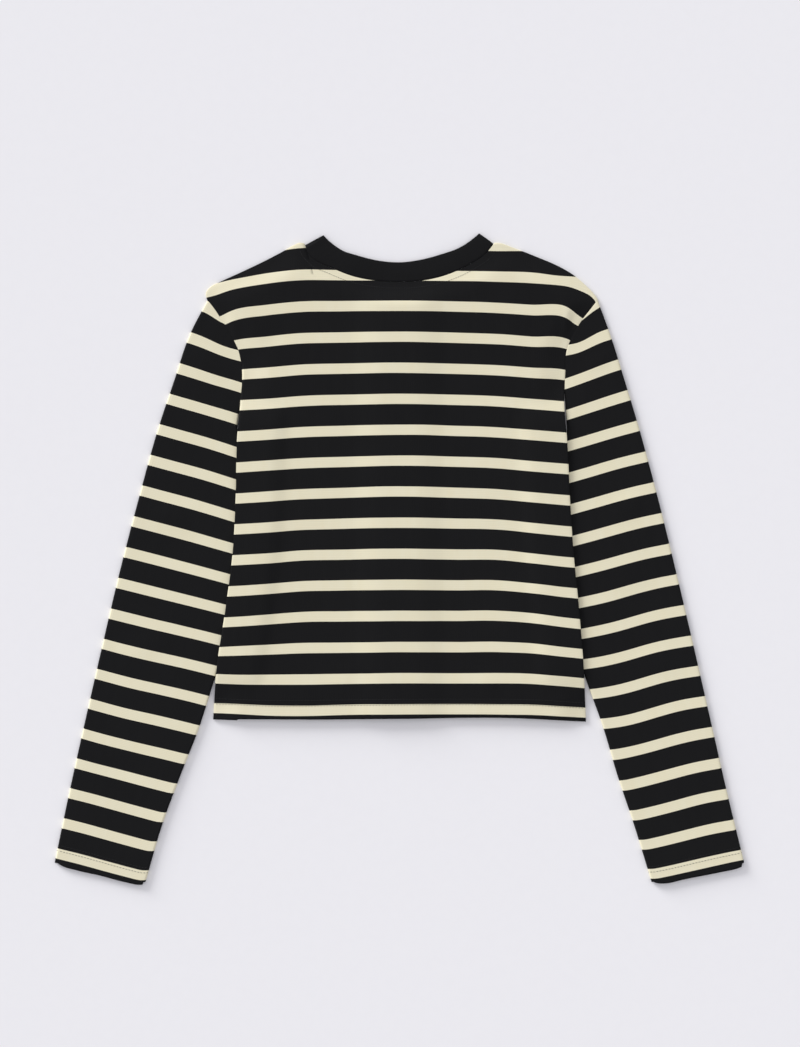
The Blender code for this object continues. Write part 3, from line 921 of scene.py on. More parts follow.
@dataclass(frozen=True)
class CottonJersey(Finish):
    """Cotton single jersey, yarn-dyed and knitted in plain stitch.

    Matt, a little fuzzy, with a soft lift of light where the surface turns away from the eye.
    """

    striped: bool = True
    cream: str = "#E9E4CB"
    cream_warm: str = "#E5DCBB"
    black: str = "#111112"
    black_worn: str = "#171718"
    roughness: float = 0.92
    ior: float = 1.5
    specular: float = 0.1
    sheen: float = 0.03
    wale: float = 2.4  # real wales are 0.75 mm apart; drawn three times as coarse, so that they show
    course: float = 1.8  # real courses are 0.55 mm apart, drawn as coarse as the wales
    wale_relief: float = 1.2  # relief of the wales against that of the courses
    fuzz_relief: float = 0.7  # the same of the fuzz
    relief: float = 0.16  # depth of the loops, in millimetres
    fuzz_scale: float = 2.2  # loose fibres, about 0.5 mm across
    cloud_scale: float = 0.022  # uneven dye, over some 45 mm
    streak_scale: tuple[float, float, float] = (0.16, 0.012, 0.0)  # uneven yarn, some 6 by 80 mm
    drift_scale: float = 0.014  # stretch of the knit, over some 70 mm
    waver: float = 1.1  # how far the stripes' edges stray over a hand's breadth, in millimetres
    ragged: float = 0.35  # how far fibres break the stripes' edges, in millimetres
    stepped: float = 0.3  # how far wales step the stripes' edges, in millimetres
    # painted shade of the knit: the colour is darker at a loop's foot and lighter at its top
    painted_loop_shade: Pair = (0.16, 0.92)  # how much lighter a loop's top is, and how bright its foot is

    def shade(self, add: partial) -> dict:
        """Knit relief with painted shade between the loops, and uneven dye, with the stripes drawn where the
        knit's rows change yarn.

        Args:
            add: adds a node to the material's tree.

        Returns:
            What each input gets, by name.
        """
        place = add("UVMap", uv_map=KNIT_MAP)
        place = add("VectorMath", (place, (STRIPE_PITCH,) * 3), operation="MULTIPLY")
        across, along, _ = add("SeparateXYZ", (place,)).outputs
        wale = add("Math", (across, 1.0 / self.wale), operation="MULTIPLY")
        wale = add("Math", (wale, 0.5), operation="PINGPONG")
        loop = add("Math", (along, 1.0 / self.course, wale), operation="MULTIPLY_ADD")
        loop = add("Math", (loop, 0.5), operation="PINGPONG")
        fibre = add("TexNoise", {"Vector": place, "Scale": self.fuzz_scale, "Detail": 3.0})
        height = add("Math", (wale, self.wale_relief, loop), operation="MULTIPLY_ADD")
        height = add("Math", (fibre, self.fuzz_relief, height), operation="MULTIPLY_ADD")
        bump = add("Bump", {"Height": height, "Strength": 0.35, "Distance": self.relief * MM})
        dye = {"Vector": place, "Scale": self.cloud_scale, "Detail": 3.0, "Roughness": 0.6}
        cloud = add("TexNoise", dye)
        drawn = add("VectorMath", (place, self.streak_scale), operation="MULTIPLY")
        streak = add("TexNoise", {"Vector": drawn, "Scale": 1.0, "Detail": 2.0})
        fuzz = add("Math", (fibre, 0.5), operation="SUBTRACT")
        uneven = add("Math", (add("Math", (cloud, streak), operation="ADD"), fuzz), operation="ADD")
        tone = add("Math", (uneven, 0.5), operation="MULTIPLY")
        tones = {"Factor": tone, "A": linear(self.black), "B": linear(self.black_worn)}
        colour = add("Mix", tones, data_type="RGBA")
        if self.striped:
            tones = {"Factor": tone, "A": linear(self.cream), "B": linear(self.cream_warm)}
            cream = add("Mix", tones, data_type="RGBA")
            drift = add("TexNoise", {"Vector": place, "Scale": self.drift_scale, "Detail": 1.0})
            drift = add("Math", (drift, 0.5), operation="SUBTRACT")
            edge = along
            for wave, reach in ((fuzz, self.ragged), (drift, self.waver), (wale, self.stepped)):
                edge = add("Math", (wave, reach, edge), operation="MULTIPLY_ADD")
            edge = add("Math", (edge, 1.0 / STRIPE_PITCH), operation="MULTIPLY")
            edge = add("Math", (edge,), operation="FRACT")
            band = add("Math", (edge, CREAM_SHARE), operation="LESS_THAN")
            colour = add("Mix", {"Factor": band, "A": colour, "B": cream}, data_type="RGBA")
        # painted shade: the base colour is scaled down towards the foot of each loop
        light = add("Math", (loop, *self.painted_loop_shade), operation="MULTIPLY_ADD")
        return {
            "Base Color": add("VectorMath", {0: colour, "Scale": light}, operation="SCALE"), "Normal": bump,
            "Roughness": self.roughness, "IOR": self.ior, "Specular IOR Level": self.specular,
            "Sheen Weight": self.sheen, "Sheen Roughness": 0.6,
        }


@dataclass(frozen=True)
class PolyesterThread(Finish):
    """Spun polyester sewing thread: matt, with its twist as fine slanting ridges."""

    name: str = "polyester_thread"
    colour: str = "#161617"
    highlight: str = "#222224"
    twist: float = 0.45  # between two ridges of the twist, in millimetres
    slant: float = 0.7
    roughness: float = 0.7

    def shade(self, add: partial) -> dict:
        """Ridges of the twist, painted a little lighter than the grooves between them: a painted highlight
        on the ridges and painted shade in the grooves.

        Args:
            add: adds a node to the material's tree.

        Returns:
            What each input gets, by name.
        """
        place = add("TexCoord").outputs["Object"]
        turned = add("Mapping", {"Vector": place, "Rotation": (0.0, 0.0, self.slant)})
        scale = 1.0 / (self.twist * MM * 6.3)
        wave = add("TexWave", {"Vector": turned, "Scale": scale, "Distortion": 1.0}).outputs["Fac"]
        # painted highlight on the twist's ridges and painted shade in its grooves
        tones = {"Factor": wave, "A": linear(self.colour), "B": linear(self.highlight)}
        return {
            "Base Color": add("Mix", tones, data_type="RGBA"),
            "Normal": add("Bump", {"Height": wave, "Strength": 0.4, "Distance": 0.05 * MM}),
            "Roughness": self.roughness, "Specular IOR Level": 0.2, "Sheen Weight": 0.05,
        }


@dataclass(frozen=True)
class PolyesterResin(Finish):
    """Polyester button resin, turned and tumbled: a soft polish with faint turning marks."""

    name: str = "polyester_resin"
    colour: str = "#151516"
    cloud: str = "#1F1F21"
    roughness: Pair = (0.25, 0.4)
    ior: float = 1.54

    def shade(self, add: partial) -> dict:
        """Swirls cast into the resin, and marks of the tool and of tumbling.

        Args:
            add: adds a node to the material's tree.

        Returns:
            What each input gets, by name.
        """
        place = add("TexCoord").outputs["Object"]
        swirl = add("TexNoise", {"Vector": place, "Scale": 260.0, "Detail": 4.0, "Distortion": 1.5})
        marks = add("TexNoise", {"Vector": place, "Scale": 2200.0})
        tones = {"Factor": swirl, "A": linear(self.colour), "B": linear(self.cloud)}
        low, high = self.roughness
        return {
            "Base Color": add("Mix", tones, data_type="RGBA"),
            "Roughness": add("MapRange", {"Value": swirl, "To Min": low, "To Max": high}),
            "Normal": add("Bump", {"Height": marks, "Strength": 0.15, "Distance": 0.03 * MM}),
            "IOR": self.ior,
        }


@dataclass(frozen=True)
class PaperSweep(Finish):
    """Studio background paper: smooth, matt and very slightly lilac."""

    name: str = "background_paper"
    colour: str = "#EFEEF0"
    fibre_shade: str = "#EDECEE"

    def shade(self, add: partial) -> dict:
        """The faint cloudiness of the paper's fibres.

        Args:
            add: adds a node to the material's tree.

        Returns:
            What each input gets, by name.
        """
        place = add("TexCoord").outputs["Object"]
        fibre = add("TexNoise", {"Vector": place, "Scale": 90.0})
        tones = {"Factor": fibre, "A": linear(self.colour), "B": linear(self.fibre_shade)}
        colour = add("Mix", tones, data_type="RGBA")
        return {"Base Color": colour, "Roughness": 0.95, "Specular IOR Level": 0.1}


@dataclass
class Finishes:
    """All the materials of the garment, made once."""

    striped: bpy.types.Material = field(default_factory=CottonJersey("striped_cotton_jersey").make)
    band: bpy.types.Material = field(
        default_factory=CottonJersey("black_cotton_jersey", striped=False).make
    )
    thread: bpy.types.Material = field(default_factory=PolyesterThread().make)
    resin: bpy.types.Material = field(default_factory=PolyesterResin().make)


# ---- Sewing ----


@dataclass(frozen=True)
class StitchRow:
    """A row of stitches that lie on the cloth and dip into it at their ends."""

    pitch: float = 3.2
    length: float = 2.7
    thickness: float = 0.42
    end_share: float = 0.45  # how thick a stitch's ends are against its middle
    sunk: float = 0.6  # how deep its ends lie, in half thicknesses
    pressed: float = 0.08  # how far a stitch stands out under the garment, pressed on the floor
    sides: int = 6
    stations: int = 5

    def make(self, name: str, path: Array, normals: Array, material: bpy.types.Material) -> bpy.types.Object:
        """Sew along a path.

        Args:
            name: of the new object.
            path: points on the cloth's surface.
            normals: directions out of the cloth at those points.
            material: the thread.

        Returns:
            One mesh with all the stitches.
        """
        length = line_length(path)
        count = max(1, int(length / self.pitch))
        starts = np.arange(count) * self.pitch + 0.5 * (length - count * self.pitch)
        steps = np.linspace(0.0, 1.0, self.stations)
        wanted = (starts[:, None] + steps[None] * self.length) / length
        shares = arc_shares(path)
        centre, up = (
            np.stack([np.interp(wanted, shares, column) for column in values.T], axis=-1)
            for values in (path, normals)
        )
        up /= np.linalg.norm(up, axis=-1, keepdims=True)
        aside = np.cross(up, centre[:, -1:] - centre[:, :1])
        aside /= np.linalg.norm(aside, axis=-1, keepdims=True)
        arch = np.sin(np.pi * steps)
        radius = 0.5 * self.thickness * (self.end_share + (1.0 - self.end_share) * arch)
        centre = centre + up * ((arch - self.sunk) * 0.5 * self.thickness)[None, :, None]
        turn = np.arange(self.sides) * 2.0 * np.pi / self.sides
        ring = (
            centre[:, :, None]
            + (radius[None, :, None] * np.cos(turn))[..., None] * aside[:, :, None]
            + (radius[None, :, None] * np.sin(turn))[..., None] * up[:, :, None]
        )
        ring[..., 2] = np.maximum(ring[..., 2], -self.pressed)
        index = np.arange(count * self.stations * self.sides).reshape(count, self.stations, self.sides)
        following = np.roll(index, -1, axis=2)
        quads = [index[:, :-1], following[:, :-1], following[:, 1:], index[:, 1:]]
        faces = np.stack(quads, axis=-1).reshape(-1, 4).tolist()
        faces += index[:, 0, ::-1].tolist() + index[:, -1].tolist()
        mesh = bpy.data.meshes.new(name)
        mesh.from_pydata((ring.reshape(-1, 3) * MM).tolist(), [], faces)
        mesh.shade_smooth()
        return dress(add_object(mesh), material)


def hem_seams(name: str, sheet: ClothSheet, number: float, finishes: Finishes) -> list[bpy.types.Object]:
    """Sew the two rows of a twin-needle hem seam.

    Args:
        name: of the seam, without the row's number.
        sheet: the cloth whose outer side shows the rows.
        number: stripe number of the row nearer the hem.
        finishes: the garment's materials.

    Returns:
        The two rows.
    """
    rows = (number, number - NEEDLE_GAP / STRIPE_PITCH)
    return [
        StitchRow().make(f"{name}_{place}", *sheet.course(row), finishes.thread)
        for place, row in enumerate(rows, start=1)
    ]


# ---- The garment ----


@dataclass
class BackPanel:
    """The back: one panel from the shoulders to the hem, with its hem and neck sewn."""

    form: LaidForm
    shoulder_columns: int = 30
    neck_columns: int = 72
    rows: int = 168
    hem_course: float = 15.018  # stripe number of the hem seam's lower row
    neck_stitch: float = 6.6  # below the neck seam
    neck_stitch_top: float = 322.0

    def sheet(self) -> ClothSheet:
        """The panel's grid.

        Returns:
            The sheet; rows run from the hem up, columns to the right.
        """
        tops = []
        for side in Side:
            line = smooth_line(SHOULDERS[side])
            shares = graded(self.shoulder_columns, line_length(line), JERSEY_RIM, Ends.FIRST)
            tops.append(at_shares(line, shares))
        neck = at_shares(smooth_line(BACK_NECK_SEAM), np.linspace(0.0, 1.0, self.neck_columns + 1))
        top = np.vstack([tops[0], neck[1:-1], tops[1][::-1]])
        left, right = (side.edge(BODY_SIDES) for side in Side)
        shares = graded(self.rows, line_length(left), JERSEY_RIM)
        left, right = at_shares(left, shares), at_shares(right, shares)
        x = left[0, 0] + arc_shares(top) * (right[0, 0] - left[0, 0])
        hem = np.column_stack([x, self.form.hem_at(x)])
        left[0], right[0] = hem[0], hem[-1]
        flat = coons(hem, top, left, right)
        x, y = flat[..., 0], flat[..., 1]
        knit = np.dstack([x / STRIPE_PITCH, Stripes.body(x, y)])
        return ClothSheet.laid(flat, self.form.back_middle(x, y), self.form.jersey_wall, knit)

    def build(self, finishes: Finishes) -> None:
        """Make the panel and its sewing.

        Args:
            finishes: the garment's materials.
        """
        sheet = self.sheet()
        piece = dress(sheet.build("back_panel"), finishes.striped, "back")
        seams = [*hem_seams("back_hem_seam", sheet, self.hem_course, finishes), self.neck_seam(finishes)]
        sheet.area()

    def neck_seam(self, finishes: Finishes) -> bpy.types.Object:
        """The stitches that hold the neck seam's turning flat.

        Args:
            finishes: the garment's materials.

        Returns:
            The row of stitches.
        """
        line = moved_aside(smooth_line(BACK_NECK_SEAM), -self.neck_stitch)
        x, y = line[line[:, 1] < self.neck_stitch_top].T
        height = self.form.back_middle
        tilt_x = height(x + 0.5, y) - height(x - 0.5, y)
        tilt_y = height(x, y + 0.5) - height(x, y - 0.5)
        normals = np.column_stack([-tilt_x, -tilt_y, np.ones_like(x)])
        normals /= np.linalg.norm(normals, axis=1, keepdims=True)
        path = np.column_stack([x, y, height(x, y)]) + normals * 0.5 * self.form.jersey_wall
        return StitchRow(pitch=2.6, length=2.45).make("back_neck_seam", path, normals, finishes.thread)


@dataclass
class FrontPanel:
    """One front, hidden under the back: shoulder, neckline, band seam, side and hem."""

    form: LaidForm
    side: Side
    columns: int = 60
    centre_rows: int = 110
    neck_rows: int = 44
    shown_hem: tuple[Pair, ...] = ((-194.0, -1.0), (-168.5, -1.9))  # of the left one, under the back's
    shown_end: float = -165.5

    def sheet(self) -> ClothSheet:
        """The panel's grid; its outer side is the lower one.

        Returns:
            The sheet.
        """
        neckline = self.side.mirrored(FRONT_NECK_SEAM)[::-1]
        shoulder = smooth_line(SHOULDERS[self.side])
        shoulder = at_shares(shoulder, graded(self.columns, line_length(shoulder), JERSEY_RIM))
        outer = self.side.edge(BODY_SIDES)
        x = outer[0, 0] + arc_shares(shoulder) * (neckline[0, 0] - outer[0, 0])
        hem = np.column_stack([x, self.form.hem_at(x) + self.hem_rise(x)])
        centre = np.array([hem[-1], neckline[0]])
        low = at_shares(centre, graded(self.centre_rows, line_length(centre), JERSEY_RIM, Ends.FIRST))
        high = at_shares(neckline, graded(self.neck_rows, line_length(neckline), JERSEY_RIM, Ends.LAST))
        inner = np.vstack([low, high[1:]])
        inner[-1] = shoulder[-1]
        outer = at_shares(outer, arc_shares(inner))
        outer[0] = hem[0]
        flat = coons(hem, shoulder, outer, inner)
        if self.side is Side.LEFT:
            flat = flat[:, ::-1]
        x, y = flat[..., 0], flat[..., 1]
        height = self.form.front_middle(x, y, self.form.band_bottom(self.side))
        knit = np.dstack([x / STRIPE_PITCH, Stripes.body(x, y)])
        return ClothSheet.laid(flat, height, self.form.jersey_wall, knit)

    def hem_rise(self, x: Array) -> Array:
        """How far the front's hem lies above the back's; the left one shows a little at its side.

        Args:
            x: places along the hem.

        Returns:
            The rise at those places.
        """
        rise = np.full_like(x, self.form.front_setback)
        if self.side is Side.LEFT:
            places, rises = zip(*self.shown_hem, (self.shown_end, self.form.front_setback))
            rise = np.where(x < self.shown_end, np.interp(x, places, rises), rise)
        return rise

    def build(self, finishes: Finishes) -> None:
        """Make the panel and its hem's sewing.

        Args:
            finishes: the garment's materials.
        """
        sheet, word = self.sheet(), self.side.word
        piece = dress(sheet.build(f"{word}_front_panel"), finishes.striped, f"{word}_front")
        seams = hem_seams(f"{word}_front_hem_seam", sheet, BackPanel.hem_course, finishes)
        sheet.area()


@dataclass
class SleeveTube:
    """A sleeve: a flattened tube from the armhole to the cuff, with a turned-up hem."""

    form: LaidForm
    side: Side
    rows: int = 230
    columns: int = 26
    fold_angles: Sequence[int] = range(15, 180, 15)
    armhole_ease: float = 70.0  # length over which the sewn armhole opens to the sleeve's loft
    wave_start: float = 25.0  # length over which folds and waves set in
    wave_height: float = 0.16
    wave_edge: float = 0.12  # share of the width over which they fade at the edges

    def patch(self) -> tuple[Array, Array, Array]:
        """Flat part between the folds, and the directions in which the folds bulge.

        Returns:
            Points in plan with rows from armhole to cuff and columns from the outer to the inner
            edge, then for each row the directions out of the outer and of the inner edge.
        """
        turn = -self.side.value
        radius = 0.5 * self.form.sleeve_loft
        outer, inner = self.side.edge(SLEEVE_OUTER), self.side.edge(SLEEVE_INNER)
        shares = graded(self.rows, line_length(outer), JERSEY_RIM)
        outer, inner = at_shares(outer, shares), at_shares(inner, shares)
        outer_flat = moved_aside(outer, turn * radius)
        inner_flat = moved_aside(inner, -turn * radius)
        edge = self.side.edge(BODY_SIDES)
        start = [np.interp(ARMHOLE_START, edge[:, 1], edge[:, 0]), ARMHOLE_START]
        armhole = np.vstack([start, edge[edge[:, 1] > ARMHOLE_START + 0.01]])[::-1]
        even = np.linspace(0.0, 1.0, self.columns + 1)
        armhole = moved_aside(at_shares(armhole, even), -turn * SEWN_GAP)
        outer[0] = armhole[0]
        outer_flat[0] = armhole[0] = toward(armhole[0], armhole[1], radius)
        armhole[-1] = inner_flat[0]
        cuff = at_shares(smooth_line(CUFFS[self.side]), even)
        cuff[0], cuff[-1] = outer_flat[-1], inner_flat[-1]
        flat = coons(armhole, cuff, outer_flat, inner_flat)
        return flat, (outer - outer_flat) / radius, (inner - inner_flat) / radius

    def sheet(self) -> ClothSheet:
        """The tube's grid: over the top, round the inner fold, under, and round the outer fold.

        Returns:
            The sheet, closed round the sleeve.
        """
        form = self.form
        flat, outward, inward = self.patch()
        along = arc_shares(flat.mean(axis=1)) * line_length(flat.mean(axis=1))
        opened = ease(along, 0.0, self.armhole_ease)
        loft = form.armhole_loft + (form.sleeve_loft - form.armhole_loft) * opened
        radius = 0.5 * (loft - form.jersey_wall)
        low = np.full(len(flat), 0.5 * form.jersey_wall)
        x, y, count = flat[..., 0], flat[..., 1], flat.shape[1]
        depth = np.minimum(np.arange(count), np.arange(count)[::-1])[None] / count
        free = ease(along, 0.0, self.wave_start)[:, None] * ease(depth, 0.0, self.wave_edge)
        folds = crease_height(x, y, SLEEVE_CREASES[self.side]) + undulation(x, y, self.wave_height)
        top = (low + 2.0 * radius)[:, None] + folds * free
        ring = [np.column_stack([flat[:, c], top[:, c]]) for c in range(count)]
        under = [np.column_stack([flat[:, c], low]) for c in range(count - 1, -1, -1)]
        for edge, bulge, rise, after in ((-1, inward, 1.0, under), (0, outward, -1.0, ring[:1])):
            for angle in map(math.radians, self.fold_angles):
                place = flat[:, edge] + bulge * (radius * math.sin(angle))[:, None]
                ring.append(np.column_stack([place, low + radius * (1.0 + rise * math.cos(angle))]))
            ring += after
        middle = np.stack(ring, axis=1)
        if self.side is Side.LEFT:
            middle = middle[:, ::-1]
        half = 0.5 * form.jersey_wall * rim_profile(len(middle))[:, None]
        girth = np.linalg.norm(np.diff(middle, axis=1), axis=2)
        around = np.concatenate([[0.0], np.cumsum(girth.mean(axis=0))]) / STRIPE_PITCH
        number = Stripes.sleeve(self.side, middle[..., 0], middle[..., 1])
        knit = np.dstack([np.broadcast_to(around, number.shape), number])
        return ClothSheet(middle, np.broadcast_to(half, number.shape), knit, closed=True)

    def build(self, finishes: Finishes) -> None:
        """Make the tube and its hem's sewing.

        Args:
            finishes: the garment's materials.
        """
        sheet, word = self.sheet(), self.side.word
        piece = dress(sheet.build(f"{word}_sleeve_tube"), finishes.striped, f"{word}_sleeve")
        seams = hem_seams(f"{word}_cuff_seam", sheet, CUFF_COURSES[self.side], finishes)
        sheet.area()


@dataclass
class Neckband:
    """The neckband: one folded strip round the neck, turned over at its two peaks."""

    form: LaidForm
    back_stations: int = 80
    front_stations: int = 40
    across: int = 12
    fold_angles: Sequence[int] = range(0, 181, 15)
    puff: float = 0.35  # how far the strip swells between its seam and its fold, across the back
    end_gap: float = 0.3  # between the strip's two layers and the peaks of the outline
    band_gap: float = 0.1  # beside the button bands
    end_setbacks: Pair = (1.4, 1.0)  # how far down the seam the strip's turned ends start, left and right

    def stations(self, side: Side, fold_seam: Array, fold_edge: Array) -> list:
        """Stations from the centre front over the fold at one side of the neck.

        Args:
            side: the side of the neck.
            fold_seam: where the strip turns over, at its seam.
            fold_edge: the same at its folded edge.

        Returns:
            Pairs of points, at the seam and at the folded edge.
        """
        sign, form = side.value, self.form
        even = np.linspace(0.0, 1.0, self.front_stations + 1)
        seam, edge = (at_shares(side.mirrored(line), even) for line in (FRONT_NECK_SEAM, FRONT_NECK_EDGE))
        seam = moved_aside(seam, -sign * SEWN_GAP)
        seam[-1, 0] = edge[-1, 0] = sign * (0.5 * form.band_width + self.band_gap)
        found = []
        for pair in list(zip(seam, edge))[:0:-1]:
            lows = [float(form.front_underside(x, y, form.band_bottom(side))) for x, y in pair]
            found.append([(*p, low + 0.5 * form.band_wall) for p, low in zip(pair, lows)])
        outward = np.array([fold_seam[1] - fold_edge[1], fold_edge[0] - fold_seam[0]])
        outward *= -sign / np.linalg.norm(outward)
        for angle in map(math.radians, self.fold_angles):
            height = 0.5 * form.band_wall + form.turn_radius * (1.0 - math.cos(angle))
            swing = outward * form.turn_radius * math.sin(angle)
            found.append([(*(p + swing), height) for p in (fold_seam, fold_edge)])
        return found

    def sheet(self) -> ClothSheet:
        """The strip's grid: rows go round the neck, columns from the seam to the folded edge.

        Returns:
            The sheet.
        """
        form = self.form
        even = np.linspace(0.0, 1.0, self.back_stations + 1)
        seam = moved_aside(at_shares(smooth_line(BACK_NECK_SEAM), even), SEWN_GAP)
        edge = at_shares(smooth_line(BACK_NECK_EDGE), even)
        reach = form.turn_radius + 0.5 * form.band_wall + self.end_gap
        for line, setbacks in ((seam, self.end_setbacks), (edge, (0.0, 0.0))):
            line[0] = toward(line[0], line[1], reach + setbacks[0])
            line[-1] = toward(line[-1], line[-2], reach + setbacks[1])
        left = self.stations(Side.LEFT, seam[0], edge[0])
        right = self.stations(Side.RIGHT, seam[-1], edge[-1])
        heights = form.neck_middle(seam[:, 0])
        back = [[(*low, z), (*high, z)] for low, high, z in zip(seam, edge, heights)]
        pairs = np.array(left + back[1:-1] + right[::-1])
        shares = graded(self.across, NECKBAND_WIDTH, BAND_RIM)[None, :, None]
        middle = pairs[:, :1] * (1 - shares) + pairs[:, 1:] * shares
        rows = np.arange(len(pairs))
        turned = self.front_stations, self.front_stations + len(self.fold_angles)
        lying = np.minimum(ease(rows, *turned), ease(rows[::-1], *turned))
        swell = self.puff * np.sin(np.pi * shares[0, :, 0]) ** 0.7
        half = 0.5 * form.band_wall + lying[:, None] * swell[None]
        half *= rim_profile(len(pairs))[:, None] * rim_profile(shares.shape[1])[None]
        along = arc_shares(pairs.mean(axis=1)) * line_length(pairs.mean(axis=1)) / STRIPE_PITCH
        knit = np.dstack(np.meshgrid(shares[0, :, 0] * NECKBAND_WIDTH / STRIPE_PITCH, along)[::-1])
        return ClothSheet(middle, half, knit)

    def build(self, finishes: Finishes) -> None:
        """Make the strip.

        Args:
            finishes: the garment's materials.
        """
        sheet = self.sheet()
        piece = dress(sheet.build("neckband_strip"), finishes.band, "neckband")
        min(sheet.area(), 0.0205 * 0.62)


@dataclass
class ButtonBand:
    """A straight folded band down one front's edge."""

    form: LaidForm
    side: Side
    rows: int = 140
    columns: int = 12
    edge_stitch: float = 1.8
    stitch_end: float = 1.5

    def sheet(self) -> ClothSheet:
        """The strip's grid; its outer side is the lower one.

        Returns:
            The sheet.
        """
        width = self.form.band_width
        hem = float(self.form.hem_at(0.0)) + self.form.front_setback
        length = self.form.band_top - hem
        x = 0.5 * width * (1.0 - 2.0 * graded(self.columns, width, BAND_RIM))
        y = hem + length * graded(self.rows, length, BAND_RIM)
        flat = np.stack(np.meshgrid(x, y), axis=-1)
        height = np.full(flat.shape[:2], self.form.band_bottom(self.side) + 0.5 * self.form.band_wall)
        return ClothSheet.laid(flat, height, self.form.band_wall, flat / STRIPE_PITCH)

    def build(self, finishes: Finishes) -> None:
        """Make the strip and its edge stitches.

        Args:
            finishes: the garment's materials.
        """
        sheet, word = self.sheet(), self.side.word
        piece = dress(sheet.build(f"{word}_band_strip"), finishes.band, f"{word}_button_band")
        low = sheet.middle[..., 1].min() + self.stitch_end
        high = sheet.middle[..., 1].max() - self.stitch_end
        bottom = self.form.band_bottom(self.side)
        for number, sign in enumerate((-1.0, 1.0), start=1):
            x = sign * (0.5 * self.form.band_width - self.edge_stitch)
            path = np.array([(x, low, bottom), (x, high, bottom)])
            normals = np.array([(0.0, 0.0, -1.0)] * 2)
            StitchRow().make(f"{word}_band_seam_{number}", path, normals, finishes.thread)


